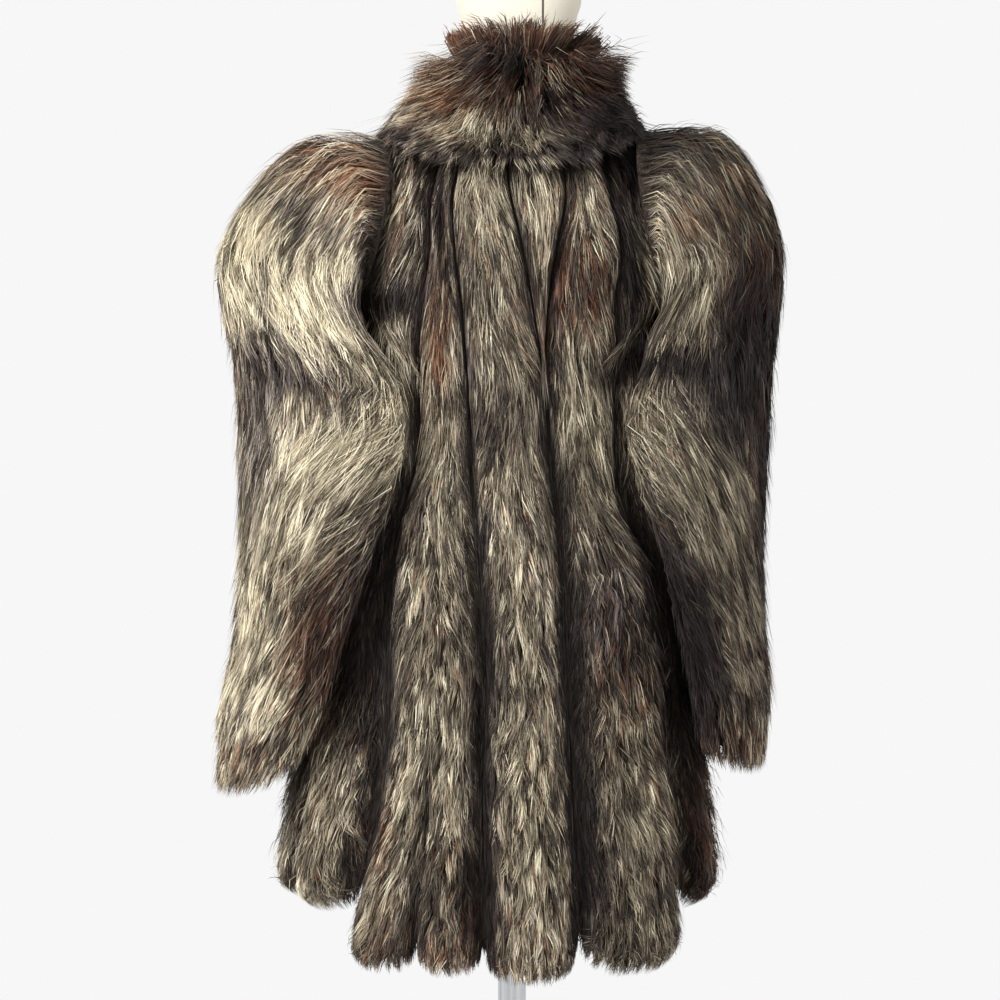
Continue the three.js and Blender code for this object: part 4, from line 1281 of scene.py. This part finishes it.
@dataclass
class DressForm:
    """The limbless form under the coat: body, wooden neck cap, pole and base."""

    neck_top: float = 1516.0
    gap: float = 0.3
    base_radius: float = 210.0
    base_thick: float = 18.0
    pole_radius: float = 14.0
    cap_shift: tuple[float, float] = (-7.0, 2.0)

    def body(self) -> Weave:
        """Squared ellipses up the table of sections, closed by rings that shrink to the middle."""
        levels = np.concatenate([
            np.full(4, FORM_FOOT), np.linspace(FORM_FOOT, self.neck_top, 64), np.full(4, self.neck_top),
        ])
        keep = np.concatenate([[0.02, 0.5, 0.9, 0.985], np.ones(64), [0.985, 0.9, 0.5, 0.02]])
        turn, level = np.meshgrid(np.linspace(0, 360, 97), levels)
        points = body_point(FORM, turn, level)
        middle = np.stack([column(FORM, Section.SHIFT, level), np.zeros_like(level), level], -1)
        points = mix(middle, points, keep[:, None, None])
        return self.closed(points)

    @staticmethod
    def closed(points: Array) -> Weave:
        """Tube of rings whose last column repeats the first, its small ends capped by one face each."""
        points = points[:, :-1]
        rows, columns = points.shape[:2]
        index = np.arange(rows * columns).reshape(rows, columns)
        wrapped = np.concatenate([index, index[:, :1]], 1)
        quads = np.stack(
            [wrapped[:-1, :-1], wrapped[:-1, 1:], wrapped[1:, 1:], wrapped[1:, :-1]], -1).reshape(-1, 4)
        vertices = points.reshape(-1, 3)
        a, b, c = (vertices[quads[:, k]] for k in range(3))
        ends = [index[0][::-1], index[-1]]
        if (a * np.cross(b, c)).sum() < 0:
            quads, ends = quads[:, ::-1], [end[::-1] for end in ends]
        corners = np.concatenate([quads.ravel(), *ends])
        starts = np.concatenate([np.arange(len(quads)) * 4, [4 * len(quads), 4 * len(quads) + columns]])
        return Weave(vertices, corners, starts)

    def turned(self, profile: tuple[tuple[float, float], ...], shift: tuple[float, float] = (0, 0)) -> Weave:
        """A profile of radius and level turned round an axis, each edge kept crisp by close rings."""
        line = np.array(profile, float)
        steps = [k + np.array([0.0, 0.02, 0.5, 0.98]) for k in range(len(line) - 1)]
        share = np.concatenate([*steps, [len(line) - 1.0]])
        radius = np.maximum(np.interp(share, np.arange(len(line)), line[:, 0]), 0.05)
        level = np.interp(share, np.arange(len(line)), line[:, 1])
        turn, _ = np.meshgrid(np.linspace(0, 2 * math.pi, 97), level)
        points = np.stack([
            shift[0] + radius[:, None] * np.sin(turn), shift[1] + radius[:, None] * np.cos(turn),
            np.broadcast_to(level[:, None], turn.shape),
        ], -1)
        return self.closed(points)

    def build(self) -> None:
        """Makes the four pieces and gives each its finish."""
        under, thick, pole = self.neck_top + self.gap, self.base_thick, self.pole_radius
        top = FORM_FOOT - self.gap
        cover = CoverFinish("form_cover").material()
        wood = WoodFinish("cap_wood").material()
        steel = MetalFinish(
            "pole_steel", (0.42, 0.43, 0.44), (0.62, 0.63, 0.64), 1.0, 0.3, (1, 1, 0.03)).material()
        paint = MetalFinish(
            "base_paint", (0.30, 0.31, 0.32), (0.37, 0.38, 0.39), 0.2, 0.45, (1, 1, 1)).material()
        cap = ((0, under), (50, under), (52, under + 3), (50, under + 9.7), (46, under + 13),
               (40, under + 16.7), (22, under + 21), (0, under + 22))
        tube = ((0, thick + 0.3), (34, thick + 0.3), (34, thick + 8), (pole + 4, thick + 16),
                (pole, thick + 34), (pole, top - 30), (pole + 5, top - 14), (40, top - 6), (40, top), (0, top))
        rim = self.base_radius
        plate = ((0, 0), (rim - 3, 0), (rim, 4), (rim - 1, 9), (rim - 8, 13), (60, thick), (0, thick))
        made = (
            ("form_body", self.body(), cover, "form_cover"),
            ("neck_cap", self.turned(cap, self.cap_shift), wood, "cap_wood"),
            ("stand_pole", self.turned(tube), steel, "pole_steel"),
            ("stand_base", self.turned(plate), paint, "base_paint"),
        )
        for node, weave, material, slot in made:
            piece = weave.make(f"{node}_finish", material)
            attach(piece, "root")
            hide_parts(node)
            log.info("%s: %d faces", piece.name, len(piece.data.polygons))


@dataclass
class Studio:
    """Plain pale floor, soft lights and the camera."""

    reach: float = 9.0
    paper: Colour = (0.93, 0.93, 0.93)

    def floor(self) -> None:
        """A round floor that shades into the backdrop's own brightness away from the stand."""
        angle = np.linspace(0, 2 * math.pi, 97)[:-1]
        vertices = np.stack([np.cos(angle), np.sin(angle), np.zeros_like(angle)], -1) * self.reach / MM
        vertices[:, 2] = -0.4
        bench = Bench("floor_paper")
        shine = bench.out("ShaderNodeEmission", 0, {}, {"Color": (*self.paper, 1), "Strength": 1.0})
        matt = bench.out("ShaderNodeBsdfDiffuse", 0, {}, {"Color": (0.82, 0.82, 0.82, 1)})
        where = bench.out("ShaderNodeTexCoord", "Object")
        far = bench.out("ShaderNodeVectorMath", "Value", {"operation": "LENGTH"}, {0: where})
        share = bench.out("ShaderNodeMapRange", 0, {"interpolation_type": "SMOOTHSTEP"},
                          {"Value": far, "From Min": 0.5, "From Max": 2.2})
        both = bench.out("ShaderNodeMixShader", 0, {}, {0: share, 1: matt, 2: shine})
        bench.make("ShaderNodeOutputMaterial", {}, {"Surface": both})
        Weave(vertices, np.arange(96), np.array([0])).make("floor", bench.material, False)

    def lamp(self, name: str, place: Colour, aim: Colour, size: float, power: float) -> None:
        """A square softbox.

        Args:
            name: Its name.
            place: Where it stands, in metres.
            aim: What it points at.
            size: Side of the square.
            power: Watts.
        """
        light = bpy.data.lights.new(name, "AREA")
        light.size, light.energy = size, power
        lamp = bpy.data.objects.new(name, light)
        bpy.context.scene.collection.objects.link(lamp)
        lamp.location = place
        toward = Vector([b - a for a, b in zip(place, aim)])
        lamp.rotation_euler = toward.to_track_quat("-Z", "Y").to_euler()

    def build(self) -> None:
        """Makes the floor, world, lights and camera."""
        self.floor()
        world = bpy.data.worlds.new("backdrop")
        world.use_nodes = True
        world.node_tree.nodes["Background"].inputs["Color"].default_value = (*self.paper, 1)
        world.node_tree.nodes["Background"].inputs["Strength"].default_value = 1.0
        bpy.context.scene.world = world
        bpy.context.scene.view_settings.view_transform = "Standard"
        centre = (0.0, 0.0, 1.0)
        self.lamp("softbox_left", (1.7, 2.3, 2.3), centre, 1.0, 88)
        self.lamp("softbox_right", (-2.2, 1.6, 1.5), centre, 1.4, 8)
        self.lamp("softbox_front", (0.6, -2.6, 2.2), centre, 1.6, 45)
        data = bpy.data.cameras.new("camera")
        data.lens, data.sensor_width = 82.8, 36
        camera = bpy.data.objects.new("camera", data)
        bpy.context.scene.collection.objects.link(camera)
        camera.location = [v * MM for v in EYE]
        camera.rotation_euler = (math.pi / 2, 0, math.pi)
        bpy.context.scene.camera = camera


def garment() -> tuple[Hide, ...]:
    """The pieces of the coat, with the hairs that each carries."""
    body, arm = "body_fur", "sleeve_fur"
    return (
        Pelt("back_pelt_centre", body, 101, 28500, start="centre_wedge", end="left_centre", hem=563, notch=30),
        Pelt("back_pelt_left", body, 102, 34000, start="left_centre", end="left_shoulder", hem=571, notch=22,
             hem_lobes=2, sweep=10),
        Pelt("back_pelt_right", body, 103, 32000, start="right_shoulder", end="wedge_right", hem=567, notch=34,
             sweep=-10),
        Pelt("back_wedge", body, 104, 2800, start="wedge_right", end="centre_wedge", hem=1152, free_end=False),
        Pelt("shoulder_wedge_left", body, 105, 6500, start="left_shoulder", end="left_armhole", hem=ARMHOLE,
             free_end=False, lobes=0.5, sweep=28, reach=(0.0, 1.6)),
        Pelt("shoulder_wedge_right", body, 106, 5500, start="right_armhole", end="right_shoulder", hem=ARMHOLE,
             free_end=False, lobes=0.5, phase=0.5, sweep=-28, reach=(-0.8, 1.0)),
        Pelt("side_panel_left", body, 107, 15500, start="left_shoulder", end=SIDE_SEAM, hem=620, notch=26,
             lobes=2, top=ARMHOLE - SEAM, core=0.62, root_start=-0.05),
        Pelt("side_panel_right", body, 108, 13500, start=-SIDE_SEAM, end="right_shoulder", hem=617, notch=26,
             lobes=2, top=ARMHOLE - SEAM, core=0.62, root_start=-0.05),
        Pelt("front_side_left", body, 109, 6500, start=SIDE_SEAM, end=134.0, hem=624, notch=26,
             top=ARMHOLE - SEAM, core=0.62, root_start=-0.05),
        Pelt("front_side_right", body, 110, 6500, start=-134.0, end=-SIDE_SEAM, hem=624, notch=26,
             top=ARMHOLE - SEAM, core=0.62, root_start=-0.05),
        Pelt("front_left", body, 111, 12500, start="left_front", end=180.0, hem=622, notch=26, lobes=2),
        Pelt("front_right", body, 112, 12500, start=-180.0, end="right_front", hem=622, notch=26, lobes=2),
        Sleeve("sleeve_left", arm, 113, 46000, length=60, ring=True, root_start=-0.03, side=1,
               rests_on=("shoulder_wedge_left",)),
        Sleeve("sleeve_right", arm, 114, 42500, length=58, ring=True, root_start=-0.03, side=-1,
               rests_on=("shoulder_wedge_right",)),
        FoldedCollar("collar", "collar_fur", 115, 26500, length=56, held="folded", free_end=False,
                     rests_on=("back_pelt_centre",)),
    )


def main() -> None:
    """Builds the coat, the form and the studio."""
    logging.basicConfig(level=logging.INFO, format="%(message)s")
    hide = UnderfurFinish("hide_underfur").material()
    finishes = {name: FurFinish(name).material() for name in ("body_fur", "sleeve_fur", "collar_fur")}
    for piece in garment():
        piece.build(hide, finishes[piece.slot])
    DressForm().build()
    Studio().build()


if __name__ == "__main__":
    main()
